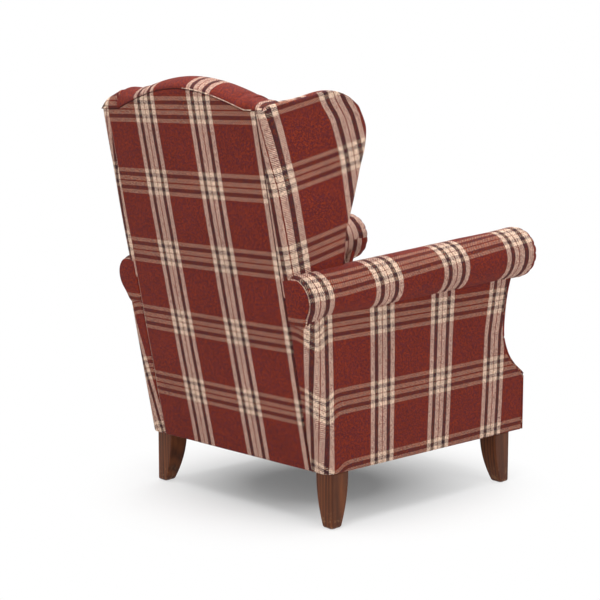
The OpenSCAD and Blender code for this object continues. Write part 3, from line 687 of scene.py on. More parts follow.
def build_bar_tree():
    """Sets a small bar on each point of a row, turned along the row: a round stitch or a square staple."""
    tree, given, end = new_group(
        "bars_along_a_row",
        [("Row", "NodeSocketGeometry", None), ("Length", "NodeSocketFloat", 0.005),
         ("Width", "NodeSocketFloat", 0.0012), ("Height", "NodeSocketFloat", 0.001),
         ("Unevenness", "NodeSocketFloat", 0.12), ("Seed", "NodeSocketInt", 7),
         ("Square", "NodeSocketBool", False), ("Finish", "NodeSocketMaterial", None)],
        [("Bars", "NodeSocketGeometry")], "GeometryNodeTree")
    along, facing = [output(tree, "GeometryNodeInputNamedAttribute", {"Name": name},
                            data_type="FLOAT_VECTOR") for name in ("along", "outward")]
    turned = output(tree, "FunctionNodeAlignRotationToVector", {"Vector": along}, axis="X")
    turned = output(tree, "FunctionNodeAlignRotationToVector", {"Rotation": turned, "Vector": facing},
                    axis="Z", pivot_axis="X")
    uneven = node(tree, "FunctionNodeRandomValue",
                  {"Seed": given["Seed"], 2: calc(tree, "SUBTRACT", 1.0, given["Unevenness"]),
                   3: calc(tree, "ADD", 1.0, given["Unevenness"])}, data_type="FLOAT").outputs[1]
    size = output(tree, "ShaderNodeCombineXYZ", {0: given["Length"], 1: given["Width"], 2: given["Height"]})
    scaled = output(tree, "ShaderNodeVectorMath", {0: size, "Scale": uneven}, operation="SCALE")
    ball = output(tree, "GeometryNodeMeshUVSphere", {"Segments": 8, "Rings": 5, "Radius": 0.5})
    block = output(tree, "GeometryNodeMeshCube", {"Size": (1, 1, 1)})
    bar = output(tree, "GeometryNodeSwitch", {0: given["Square"], 1: ball, 2: block}, input_type="GEOMETRY")
    placed = output(tree, "GeometryNodeInstanceOnPoints",
                    {"Points": given["Row"], "Instance": bar, "Rotation": turned, "Scale": scaled})
    solid = output(tree, "GeometryNodeRealizeInstances", {0: placed})
    feed(tree, end, Bars=output(tree, "GeometryNodeSetMaterial", {0: solid, "Material": given["Finish"]}))
    return tree


bar_tree = build_bar_tree()


def bars(name, rows, body, slot_name, finish, **sizes):
    """One piece of small bars on several rows of (place, direction, outward)."""
    mesh = bpy.data.meshes.new(name)
    mesh.from_pydata([tuple(p) for p, _, _ in rows], [], [])
    for label, index in (("along", 1), ("outward", 2)):
        attribute = mesh.attributes.new(label, "FLOAT_VECTOR", "POINT")
        attribute.data.foreach_set("vector", [c for row in rows for c in row[index]])
    piece = into_scene(name, mesh)
    worker = piece.modifiers.new("bars", "NODES")
    worker.node_group = bar_tree
    values = {"Finish": finish, **sizes}
    for item in bar_tree.interface.items_tree:
        if item.in_out == "INPUT" and item.name in values:
            worker[item.identifier] = values[item.name]
    bpy.context.view_layer.update()
    grown = piece.evaluated_get(bpy.context.evaluated_depsgraph_get())
    plain = bpy.data.meshes.new_from_object(grown)
    piece.modifiers.clear()
    piece.data = plain
    plain.materials.clear()
    plain.materials.append(finish)
    for face in plain.polygons:
        face.use_smooth = not sizes.get("Square", False)
    return dress(piece, body)


def cord_along(name, path, radius, cloth, sides=10, closed=True):
    """A round cord along a path; cloth(share, turn) gives its place in the cloth."""
    count = len(path)
    last = count if closed else count - 1
    rings, cloths = [], []
    for k in range(last + 1):
        here = path[k % count]
        ahead = path[(k + 1) % count] if closed or k < count - 1 else here
        behind = path[(k - 1) % count] if closed or k else here
        run = (ahead - behind).normalized()
        out = run.cross(Vector((0, 0, 1)))
        out = out.normalized() if out.length > 0.2 else run.cross(Vector((0, 1, 0))).normalized()
        up = out.cross(run)
        turns = [2 * pi * i / sides for i in range(sides)]
        rings.append([here + (out * cos(turn) + up * sin(turn)) * radius for turn in turns])
        cloths.append([cloth(k / last, i / sides) for i in range(sides + 1)])
    return tube(name, rings, cloths)


# Pieces


def outside_back():
    """Panel of the back's rear face, up to the camel back's seam."""
    def outline(a, b):
        x = mix(-PANEL_EDGE, PANEL_EDGE, a)
        return x, mix(GAP, seam_height(x), b)

    piece = panel("outside_back_panel", outline, lambda x, zl, h: back_point(x, COVER - h, zl), back_cloth,
                  thick=0.0052, edges=(0.008, 0.005), counts=(72, 96), puff=0.003, crease=0.0009)
    dress(piece, stands_for=["outside_back"])


def back_thickness(zl):
    """How far the inside back's surface is in front of the rear face."""
    low, full, top = lean_at(DECK_H), lean_at(DECK_H + 0.165), SHOULDER - CREST_IN
    if zl < full:
        return mix(BACK_LOW, BACK_FULL, smooth((zl - low) / (full - low)))
    return mix(BACK_FULL, BACK_TOP, min((zl - full) / (top - full), 1) ** 0.85)


def crest_rise(x):
    """Rise of the crest over the panel's upper edge, with a pleat near each shoulder."""
    pleat = 0.004 * exp(-((x - 0.178) / 0.004) ** 2) + 0.003 * exp(-((x + 0.205) / 0.004) ** 2)
    left_swell = 0.006 * smooth((x - 0.13) / 0.05) + 0.018 * smooth((x - 0.176) / 0.06)
    return CREST_RISE + left_swell + 0.004 * smooth((-x - 0.2) / 0.035) - pleat


def inside_back():
    """Pad of the back: from the seam over the crest, down the front, and up again behind."""
    half = SEAT_X - 0.0004
    low = DECK_H + 0.0005
    bend_h = 0.62 * BACK_TOP
    rings, cloths = [], []
    for x in [half * (2 * s - 1) for s in steps(72, 0.03)]:
        share = x / half
        drop = BACK_DROP * (0.25 * share ** 2 + 0.75 * share ** 8)
        seam = seam_height(x)
        top = seam + crest_rise(x)
        front_top = back_thickness(SHOULDER) - drop
        ring = [(CREST_IN * (1 - quarter_cos(k / 14)), mix(seam + 0.0005, top, quarter_sin(k / 14)))
                for k in range(14)]
        ring += [(mix(CREST_IN, front_top, quarter_sin(k / 20)), top - bend_h + bend_h * quarter_cos(k / 20))
                 for k in range(20)]
        for k in range(41):
            zl = mix(top - bend_h, lean_at(low, BACK_LOW), k / 40)
            puff = 0.004 * sin(pi * k / 40) * (1 - share ** 4)
            ring.append((back_thickness(zl) - drop + puff, zl))
        foot = lean_at(low, PAD_IN)
        ring += [(PAD_IN, zl) for zl in (foot, mix(foot, seam, 0.5), seam - 0.004)]
        ring.append((0.004, seam - 0.001))
        rings.append([back_point(x, d, zl) for d, zl in ring])
        cloths.append(ring_cloth(ring, back_cloth(x, seam)[0], 0.055))
    dress(tube("inside_back_pad", rings, cloths), stands_for=["inside_back"])


def outward(before, after):
    """Outward direction of an edge between two of its points."""
    run = dist(before, after)
    return (after[1] - before[1]) / run, -(after[0] - before[0]) / run


def wing_curve(inset=0.0):
    """The wing's edge from its front foot over the top to the rear, as (depth, height along the lean)."""
    low = lean_at(ROLL_REAR_H)
    curve = spline([(WING_REACH * d, mix(low, WING_TOP, z)) for d, z in WING_SHARES])
    drawn = []
    for k, (d, zl) in enumerate(curve):
        out_d, out_z = outward(curve[max(k - 1, 0)], curve[min(k + 1, len(curve) - 1)])
        here = inset * max(out_d, 0) ** 2
        drawn.append((d - out_d * here, zl - out_z * here))
    return drawn


def wing_pad(side, label):
    """Pad of a wing: its outline drawn in at both faces, over rounded edges."""
    edge = [p for p in wing_curve() if p[0] > PAD_IN + 0.004]
    low = lean_at(ROLL_REAR_H) + 0.004
    edge += [(PAD_IN, mix(edge[-1][1], low, k / 12)) for k in range(13)]
    edge += [(mix(PAD_IN, edge[0][0], k / 8), mix(low, edge[0][1], k / 8)) for k in range(1, 8)]
    count = len(edge)
    outs = [outward(edge[k - 1], edge[(k + 1) % count]) for k in range(count)]
    middle = [sum(p[axis] for p in edge) / count for axis in (0, 1)]
    inner_x, outer_x = SEAT_X, WING_X - 0.0045
    inner_r, outer_r = 0.024, 0.013
    inner_arc, outer_arc = pi / 2 * inner_r, pi / 2 * outer_r
    flat = outer_x - outer_r - inner_x - inner_r
    # Rows from the inner face to the outer: x, how far the outline is drawn in, its size, cloth used so far
    rows = [(inner_x - 0.007 * quarter_cos(k / 6), inner_r, 0.06 + 0.94 * k / 6, 0) for k in range(6)]
    rows += [(inner_x + inner_r * (1 - quarter_cos(k / 8)), inner_r * (1 - quarter_sin(k / 8)), 1,
              inner_arc * k / 8) for k in range(9)]
    rows += [(inner_x + inner_r + flat * k / 3, 0, 1, inner_arc + flat * k / 3) for k in (1, 2)]
    rows += [(outer_x - outer_r * (1 - quarter_sin(k / 6)), outer_r * (1 - quarter_cos(k / 6)), 1,
              inner_arc + flat + outer_arc * k / 6) for k in range(7)]
    rows += [(outer_x, outer_r, s, inner_arc + flat + outer_arc) for s in (0.6, 0.2)]
    rings, cloths = [], []
    for x, inset, share, unrolled in rows:
        ring, cloth = [], []
        for (d, zl), (out_d, out_z) in zip(edge, outs):
            d1, z1 = d - out_d * inset, zl - out_z * inset
            slack = 0.004 + 0.018 * smooth((0.25 - d1) / 0.12)
            slack *= smooth((z1 - 0.8) / 0.06) * smooth((0.3 - d1) / 0.05)
            z1 -= slack * (1 - smooth((x - inner_x) / 0.045))
            d1, z1 = mix(middle[0], d1, share), mix(middle[1], z1, share)
            ring.append(back_point(side * x, d1, z1))
            start = (d - out_d * inner_r, zl - out_z * inner_r) if share == 1 else (d1, z1)
            cloth.append((start[0] + out_d * unrolled - 0.1, start[1] + out_z * unrolled - 0.705))
        rings.append(ring)
        cloths.append(cloth + cloth[:1])
    piece = tube("wing_pad_cover_" + label, rings, cloths)
    dress(piece, stands_for=["wing_pad_" + label])


def outside_wing(side, label):
    """Outer cover of a wing, on round the rear corner to the back panel."""
    edge = wing_curve(0.013)
    split = min(range(len(edge)), key=lambda k: abs(edge[k][1] - (WING_TOP - 0.062)) + (edge[k][0] < 0.2))
    places = [(wrap_place(WING_X, WING_CORNER, d), zl) for d, zl in edge]
    foot = lean_at(ROLL_REAR_H) + 0.002
    rear_top = SHOULDER + 0.006
    front = along_curve([(places[0][0], foot)] + places[:split + 1])
    crown = along_curve([(0.0, rear_top), (0.012, rear_top + 0.001)] + places[split:][::-1][3:])
    base = along_curve([(0.0, foot), (places[0][0], foot)])
    rear = along_curve([(0.0, foot), (0.0, rear_top)])

    def put(w, zl, h):
        z = LEG_H + max(wrap_depth(WING_X, WING_CORNER, w), 0) * SIN + zl * COS
        return wrapped(side, WING_X, WING_CORNER, w, z, h)

    def cloth(w, zl):
        rear_band = laid(zl, [(0.497, 0.0345), (0.622, 0.0318), (0.69, 0.0297), (0.756, 0.022),
                              (0.82, 0.0142), (0.87, 0.006)])
        fore_band = 0.278 - 0.040 * smooth((zl - 0.7) / 0.28) - 0.012 * smooth((zl - 0.80) / 0.06)
        across = laid(w, [(rear_band - 0.0348, -HALF_GROUP), (rear_band, 0),
                          (rear_band + 0.0535, HALF_GROUP), (fore_band - 0.048, SETT_ACROSS - HALF_GROUP),
                          (fore_band + 0.048, SETT_ACROSS + HALF_GROUP)])
        return across, zl - 0.7075 - 0.025 * (w - 0.09)

    piece = panel("outside_wing_panel_" + label, sheet_between(base, crown, rear, front), put, cloth,
                  thick=0.0055, edges=(0.02, 0.012), counts=(56, 72), puff=0.003, crease=0.0007)
    dress(piece, stands_for=["outside_wing_" + label])


def roll_axis():
    """Start and end of the scroll's axis on the left, and the length between them."""
    start = Vector((SEAT_X + ROLL_IN + ROLL_FRONT, NOSE_Y, ROLL_FRONT_H))
    end = Vector((SEAT_X + ROLL_IN + ROLL_REAR, rear_y(ROLL_REAR_H), ROLL_REAR_H))
    return start, end, (end - start).length


def roll_band(along):
    """Height round the roll of the middle of the band that runs along it."""
    return 0.031 + 0.052 * max(0.70 - along, -0.02)


def chin(turn):
    """How far the cloth under a scroll's rear end stands down from it, on its way into the arm's side."""
    return 0.024 * min(max((-turn - 0.5) / 0.74, 0), 1) ** 3 * smooth((1.7 + turn) / 0.4)


def arm_roll(side, label):
    """Scroll of an arm: a face and a nose with pleats, the tapered roll, and its turned rear edge."""
    start, end, length = roll_axis()
    axis = (end - start).normalized()
    out = Vector((1, 0, 0))
    out = (out - axis * out.dot(axis)).normalized()
    up = out.cross(axis)
    up = up if up.z > 0 else -up
    count = 144
    first_sewn = NOSE_R - NOSE_R * pi / 2
    rear_normal = Vector((0, COS, -SIN))
    rear_plane = back_point(0, COVER + 0.001, 0).dot(rear_normal)

    def spoke(turn):
        return out * cos(turn) + up * sin(turn)

    def radius_at(along):
        return mix(ROLL_FRONT, ROLL_REAR, along / length)

    def end_along(turn):
        """Where the line along the roll at this turn meets the raked plane of the rear face."""
        low = (start + spoke(turn) * ROLL_FRONT).dot(rear_normal)
        high = (end + spoke(turn) * ROLL_REAR).dot(rear_normal)
        return (rear_plane - low) / (high - low) * length

    def profile(part, share, turn):
        """Place along the axis, radius, and place in the cloth."""
        fold = abs(sin(NOSE_PLEATS * turn / 2)) ** 0.5 - 0.75
        stop = end_along(turn)
        if part == "face":
            radius = (ROLL_FRONT - NOSE_R) * share
            sewn = radius - (ROLL_FRONT - NOSE_R) + first_sewn
            return 0.0035 * share ** 2 - 0.002 - FACE_FOLD * fold * share, radius, sewn
        if part == "nose":
            along = NOSE_R * (1 - quarter_cos(share)) + (0.0015 - FACE_FOLD * fold) * (1 - share)
            radius = ROLL_FRONT - NOSE_R * (1 - quarter_sin(share))
            radius += NOSE_FOLD * fold * sin(pi * (0.2 + 0.55 * share))
            return along, radius, NOSE_R * pi / 2 * share + first_sewn
        if part == "body":
            along = mix(NOSE_R, stop - END_R, share)
            radius = radius_at(along) + ROLL_FOLD * fold * max(0, 1 - (along - NOSE_R) / 0.035)
            radius += chin(turn) * smooth((along - stop + 0.075) / 0.06)
            swell = ripple(Vector((along, sin(turn) * 0.1, cos(turn) * 0.1)), 0.0012, 11)
            return along, radius + swell, along
        if part == "edge":
            along = stop - END_R * (1 - quarter_sin(share))
            radius = radius_at(along) + chin(turn) - END_R * (1 - quarter_cos(share))
            return along, radius, stop - END_R + END_R * pi / 2 * share
        return stop, (radius_at(stop) + chin(turn) - END_R) * share, stop + radius_at(stop) * (1 - share)

    rows = [("face", s) for s in (0.08, 0.2, 0.35, 0.5, 0.65, 0.8, 0.92)]
    rows += [("nose", k / 9) for k in range(10)]
    rows += [("body", k / 72) for k in range(1, 73)]
    rows += [("edge", k / 5) for k in range(1, 6)]
    rows += [("end", s) for s in (0.9, 0.7, 0.45, 0.2)]
    rings, cloths = [], []
    for part, share in rows:
        ring, cloth = [], []
        for i in range(count + 1):
            turn = 2 * pi * i / count - pi
            along, radius, sewn = profile(part, share, turn)
            point = start + axis * along + spoke(turn) * radius
            ring.append(Vector((side * point.x, point.y, point.z)))
            drift = 0.007 * (sewn - 0.33) / 0.47 * (turn - 0.1)
            cloth.append((laid(sewn - drift, ROLL_BANDS),
                          radius_at(min(max(along, 0), length)) * turn - roll_band(sewn)))
        rings.append(ring[:count])
        cloths.append(cloth)
    piece = tube("arm_roll_cover_" + label, rings, cloths)
    dress(piece, stands_for=["arm_roll_" + label])


def outside_arm(side, label):
    """Side panel of an arm, with the cover that goes on round the rear corner to the back panel."""
    turned = wrap_place(SIDE_X, ARM_CORNER, ARM_CORNER)
    start, end, _ = roll_axis()

    def front_w(z):
        y = FRONT_Y + FACING * 0.4 + hollow(z)
        return wrap_place(SIDE_X, ARM_CORNER, (rear_y(z) - y) * COS)

    def under_roll(share):
        """Height just inside the roll's underside, at a share of the way from its rear to its front."""
        middle = end.lerp(start, share)
        radius = mix(ROLL_REAR, ROLL_FRONT, share)
        return middle.z - sqrt(radius ** 2 - (SIDE_X - 0.002 - middle.x) ** 2) + 0.005

    def outline(a, b):
        z = mix(LEG_H + GAP, under_roll(min(a, 0.92)), b)
        return mix(PANEL_EDGE - PANEL_X + GAP, front_w(z), a), z

    def cloth(w, z):
        across, along = side_cloth(rear_y(z) - wrap_depth(SIDE_X, ARM_CORNER, w) / COS, z)
        drawn = 0.018 * exp(-((w - turned) / 0.025) ** 2) - 0.009 * smooth(1 - w / turned)
        return across, along + drawn

    piece = panel("outside_arm_cover_" + label, outline,
                  lambda w, z, h: wrapped(side, SIDE_X, ARM_CORNER, w, z, h), cloth,
                  thick=0.0045, edges=(0.006, 0.012), counts=(120, 48), puff=0.002, crease=0.0008)
    dress(piece, stands_for=["outside_arm_" + label])


def arm_rear(side, label):
    """The plain rear end of a scroll, between the back panel and the fold of the roll's cover."""
    centre_x, centre_z = SEAT_X + ROLL_IN + ROLL_REAR, lean_at(ROLL_REAR_H)

    def outline(a, b):
        turn = mix(-1.24, 1.08, b)
        reach = ROLL_REAR + chin(turn) - END_R * 0.45
        edge_x = max(centre_x + reach * cos(turn), PANEL_EDGE + 0.002)
        return mix(PANEL_EDGE + 0.0004, edge_x, a), centre_z + reach * sin(turn)

    def put(x, zl, h):
        return back_point(side * x, COVER - h + 0.005 * smooth((0.378 - zl) / 0.022), zl)

    piece = panel("arm_rear_face_" + label, outline, put, lambda x, zl: (x - PANEL_X + 0.075, zl - 0.357),
                  thick=0.0055, edges=(0.05, 0.03), counts=(14, 40), puff=0.003)
    dress(piece)


def shoulder(side, label):
    """Cover of a shoulder: over the rails from the back panel's seam to the wing's top."""
    far = WING_X - 0.0015
    low = SHOULDER + GAP
    inner = PAD_IN + 0.004
    rings, cloths = [], []
    for x in [mix(SEAT_X + 0.0004, far, s) for s in steps(18, 0.12)]:
        edge = roundness(mix(0.5, 1, (x - SEAT_X) / (far - SEAT_X)), 0.16)
        crest = mix(SHOULDER + 0.001, laid(x, LEFT_SHOULDER if side > 0 else RIGHT_SHOULDER), edge)
        ring = [(0.0005 + 0.022 * (1 - quarter_cos(k / 8)), mix(low, crest, quarter_sin(k / 8)))
                for k in range(9)]
        ring += [(mix(0.0225, inner, k / 5), mix(crest, max(crest - 0.002, SHOULDER + 0.0008), k / 5))
                 for k in range(1, 6)]
        ring += [(inner, low), (0.03, SHOULDER + 0.0004), (0.004, SHOULDER + 0.0004)]
        rings.append([back_point(side * x, d, zl) for d, zl in ring])
        cloths.append(ring_cloth(ring, back_cloth(x, SHOULDER)[0], -0.02 if side > 0 else 0.05))
    dress(tube("shoulder_cover_" + label, rings, cloths))


def arm_facing(side, label):
    """Padded front of an arm, down its hollow profile."""
    def outline(a, b):
        return mix(SEAT_X + 0.0005, SIDE_X - 0.0005, a), mix(LEG_H + GAP, FACING_TOP, b)

    def put(x, z, h):
        slope = (hollow(z + 0.001) - hollow(z - 0.001)) / 0.002
        run = hypot(1, slope)
        y = FRONT_Y + hollow(z) + (FACING - h) / run
        return Vector((side * x, y, z + (h - FACING) * slope / run * 0.5))

    piece = panel("arm_facing_cover_" + label, outline, put,
                  lambda x, z: (x - 0.285, (z - 0.31) * FRONT_STRETCH),
                  thick=FACING_COVER, edges=(0.06, 0.02), counts=(20, 60), puff=0.003)
    dress(piece, stands_for=["arm_facing_" + label])


def facing_seam(side, label):
    """The rolled seam where an arm's side cover meets its facing."""
    path = []
    for k in range(61):
        z = mix(LEG_H + FACING_SEAM_R, 0.55, k / 60)
        depth = min(0.0065, FACING - drawn_in(z) - 0.0005)
        path.append(Vector((side * (SIDE_X + 0.0004), FRONT_Y + hollow(z) + depth, z)))
    piece = cord_along("facing_seam_" + label, path, FACING_SEAM_R,
                       lambda share, turn: (0.048 + 0.016 * turn, 0.42 * share - 0.174), closed=False)
    dress(piece)


def inside_arm(side, label):
    """Pad of an arm's inner side, from below the deck up to the roll."""
    front = FRONT_Y + FACING

    def outline(a, b):
        z = mix(DECK_H - 0.04, mix(0.600, 0.560, a), b)
        y_front = mix(front + hollow(DECK_H) + 0.001, front + hollow(0.52) + 0.002, smooth(b))
        y_front = max(y_front, front + hollow(min(z, 0.57)) + 0.001)
        return mix(y_front, rear_y(z) - (PAD_IN + 0.004) / COS, a), z

    piece = panel("inside_arm_cover_" + label, outline,
                  lambda y, z, h: Vector((side * (SEAT_X + 0.0296 - h), y, z)), side_cloth,
                  thick=0.0292, edges=(0.03, 0.05), counts=(60, 24))
    dress(piece, stands_for=["inside_arm_" + label])


def front_border():
    """Cover of the seat's front between the arms."""
    half = SEAT_X - 0.0004
    front = FRONT_Y + FACING - 0.0005

    def outline(a, b):
        return mix(-half, half, a), mix(LEG_H + GAP, DECK_H - 0.0004, b)

    piece = panel("front_border_cover", outline, lambda x, z, h: Vector((x, front - h, z)),
                  lambda x, z: (x - SEAT_CLOTH, (z - 0.297) * FRONT_STRETCH),
                  thick=0.0115, edges=(0.012, 0.05), counts=(60, 24), puff=0.003)
    dress(piece, stands_for=["front_border"])


def seat_deck():
    """Cover of the deck under the loose cushion."""
    half = SEAT_X - GAP
    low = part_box("deck_pad")[0].z
    front = FRONT_Y + FACING + 0.0005
    rear = rear_y(DECK_H) - (PAD_IN + 0.014) / COS
    piece = panel("seat_deck_cover", lambda a, b: (mix(-half, half, a), mix(front, rear, b)),
                  lambda x, y, h: Vector((x, y, low + h)), lambda x, y: (x - SEAT_CLOTH, y),
                  thick=DECK_H - low - GAP, edges=(0.03, 0.02), counts=(40, 50), puff=0.0, crease=0.0)
    dress(piece, stands_for=["deck_pad"])


def cushion_ring(share_out, z):
    """A ring of the cushion with rounded corners; share_out shrinks it for the top and bottom."""
    mid_y = (CUSHION_BACK + CUSHION_FRONT) / 2
    half_x, half_y = CUSHION_X - CUSHION_SLACK, CUSHION_HALF_D - CUSHION_SLACK
    ring, flat = [], []
    for i in range(CUSHION_ROUND):
        turn = 2 * pi * i / CUSHION_ROUND
        c, s = cos(turn), sin(turn)
        size = (abs(c) ** CUSHION_SQUARE + abs(s) ** CUSHION_SQUARE) ** (1 / CUSHION_SQUARE)
        u, v = c / size * share_out, s / size * share_out
        ring.append(Vector((u * half_x, mid_y + v * half_y, z)))
        flat.append((u * CUSHION_X, v * CUSHION_HALF_D))
    return ring, flat


def puff_up(piece, held, most):
    """Light air pressure rounds the cover out; held gives how firmly points stay, most caps their way."""
    start = [v.co.copy() for v in piece.data.vertices]
    pins = piece.vertex_groups.new(name="held")
    for index, weight in held.items():
        pins.add([index], weight, "REPLACE")
    work = piece.modifiers.new("puff", "CLOTH")
    cloth = work.settings
    cloth.quality = 5
    cloth.mass = 0.25
    cloth.tension_stiffness = 12
    cloth.compression_stiffness = 12
    cloth.shear_stiffness = 6
    cloth.bending_stiffness = 0.8
    cloth.use_pressure = True
    cloth.uniform_pressure_force = 4
    cloth.effector_weights.gravity = 0
    cloth.vertex_group_mass = "held"
    work.point_cache.frame_start = 1
    work.point_cache.frame_end = PUFF_FRAMES
    for number in range(1, PUFF_FRAMES + 1):
        scene.frame_set(number)
    shape = piece.evaluated_get(bpy.context.evaluated_depsgraph_get()).data
    moved = [v.co.copy() for v in shape.vertices]
    piece.modifiers.remove(work)
    piece.vertex_groups.clear()
    for vertex, a, b in zip(piece.data.vertices, start, moved):
        step = b - a
        vertex.co = a + step * (min(step.length, most) / max(step.length, 1e-9))
    scene.frame_set(1)


def seat_cushion():
    """Cover of the loose cushion, rounded out by air, with its two welts and its zip."""
    count = CUSHION_ROUND
    length = 4 * (CUSHION_X + CUSHION_HALF_D)
    rings, cloths, firm = [], [], []

    def add(share_out, z, weight, border_cloth=None):
        ring, flat = cushion_ring(share_out, z)
        rings.append(ring)
        firm.append(weight)
        if border_cloth is None:
            cloths.append([(x - SEAT_CLOTH, y) for x, y in flat + flat[:1]])
        else:
            cloths.append([(length * i / count, border_cloth) for i in range(count + 1)])

    for share in UNDER_SHARES:
        add(share, CUSHION_Z + 0.001, 0.9)
    for k in range(BORDER_ROWS + 1):
        up = k / BORDER_ROWS
        add(1, CUSHION_Z + 0.002 + (CUSHION_T - 0.002) * up, 0.95 if k in (0, BORDER_ROWS) else 0,
            CUSHION_T * (up - 0.5) + 0.09)
    for share in UPPER_SHARES:
        add(share, CUSHION_Z + CUSHION_T + 0.006 * (1 - share), 0)
    piece = tube("seat_cushion_cover", rings, cloths)
    held = {r * count + i: weight for r, weight in enumerate(firm) if weight for i in range(count)}
    puff_up(piece, held, PUFF_MOST)
    low = (-CUSHION_X, CUSHION_FRONT, CUSHION_Z)
    high = (CUSHION_X, CUSHION_BACK, CUSHION_Z + CUSHION_MOST_T)
    for vertex in piece.data.vertices:
        vertex.co = [min(max(c, least), most) for c, least, most in zip(vertex.co, low, high)]
    points = [v.co.copy() for v in piece.data.vertices]
    dress(piece, body="seat_cushion", stands_for=["cushion_cover", "cushion_zip"])

    def border_row(k):
        first = (len(UNDER_SHARES) + k) * count
        return points[first:first + count]

    for edge, row, lift in (("lower", 0, WELT_R), ("upper", BORDER_ROWS, 0.001)):
        path = [p + Vector((0, 0, lift)) for p in border_row(row)]
        welt = cord_along("seat_cushion_%s_welt" % edge, path, WELT_R,
                          lambda share, turn: (length * share, 0.021 * turn + length * share))
        dress(welt, body="seat_cushion")
    cushion_zip(border_row(BORDER_ROWS // 2))


def cushion_zip(middle):
    """Zip in the back of the cushion's border: a tape, two rows of teeth and a slider."""
    path = [p + Vector((0, 0.0012, 0)) for p in middle if p.y > CUSHION_BACK - 0.03 and abs(p.x) < 0.19]
    path.sort(key=lambda p: p.x)
    section = [(-0.003, -0.009), (0.0006, -0.009), (0.0012, 0), (0.0006, 0.009), (-0.003, 0.009)]
    rings = [[p + Vector((0, y, z)) for y, z in section] for p in path]
    cloths = [[(p.x, z) for _, z in section + section[:1]] for p in path]
    dress(tube("seat_cushion_zip_tape", rings, cloths, zip_cloth), body="seat_cushion")
    teeth = [(place + Vector((0, 0.0014, 0.0011 if k % 2 else -0.0011)), run, (0, 1, 0))
             for k, (place, run) in enumerate(evenly(path, 0.0026))]
    bars("seat_cushion_zip_teeth", teeth, "seat_cushion", "steel", steel,
         Length=0.0014, Width=0.0036, Height=0.0014, Unevenness=0.02, Square=True)
    pull = path[6] + Vector((0, 0.0026, 0))
    turns = [2 * pi * i / 12 for i in range(12)]
    shape = [(-0.012, 0.0044), (-0.008, 0.0036), (-0.002, 0.0044), (0.006, 0.0066), (0.007, 0.0045),
             (0.010, 0.0058)]
    rings = [[pull + Vector((along, 0.0013 * cos(turn), half * sin(turn))) for turn in turns]
             for along, half in shape]
    cloths = [[(along, i) for i in range(13)] for along, _ in shape]
    dress(tube("seat_cushion_zip_slider", rings, cloths, steel), "seat_cushion")


def back_seam():
    """Dark stitches down both sides of the back panel and over its top; their dark thread is painted shade
    that stands for the shadow in the seam's groove.
    """
    up = [mix(0.002, SHOULDER, k / 60) for k in range(61)]
    paths = [[back_point(side * (PANEL_EDGE + 0.0018), 0.0016, zl) for zl in up] for side in (1, -1)]
    over = [mix(-PANEL_EDGE, PANEL_EDGE, k / 90) for k in range(91)]
    paths.append([back_point(x, 0.0002, seam_height(x) + GAP) for x in over])
    rows = [(place, run, (0, 1, 0)) for path in paths for place, run in evenly(path, 0.0052)]
    # The stitches' dark thread is painted shade for the seam's shadow.
    bars("back_seam_shade_stitches", rows, "chair", "tartan", thread,
         Length=0.0058, Width=0.0017, Height=0.0015, Unevenness=0.08)


def crest_fold():
    """Turned edge of the crest's cover along the seam; its cloth is held in a pale stripe all along, a
    painted highlight on the fold.
    """
    xs = [mix(-0.262, -0.03, k / 60) for k in range(61)]
    path = [back_point(x, -0.0006, seam_height(x) + 0.0022) for x in xs]
    # The cloth stays in the outer pale stripe along the whole edge: a painted highlight of the fold.
    piece = cord_along("crest_turned_edge_highlight", path, 0.0012,
                       lambda share, turn: (HALF_GROUP - 0.0066 + 0.002 * turn, 0.24 * share),
                       sides=8, closed=False)
    dress(piece)


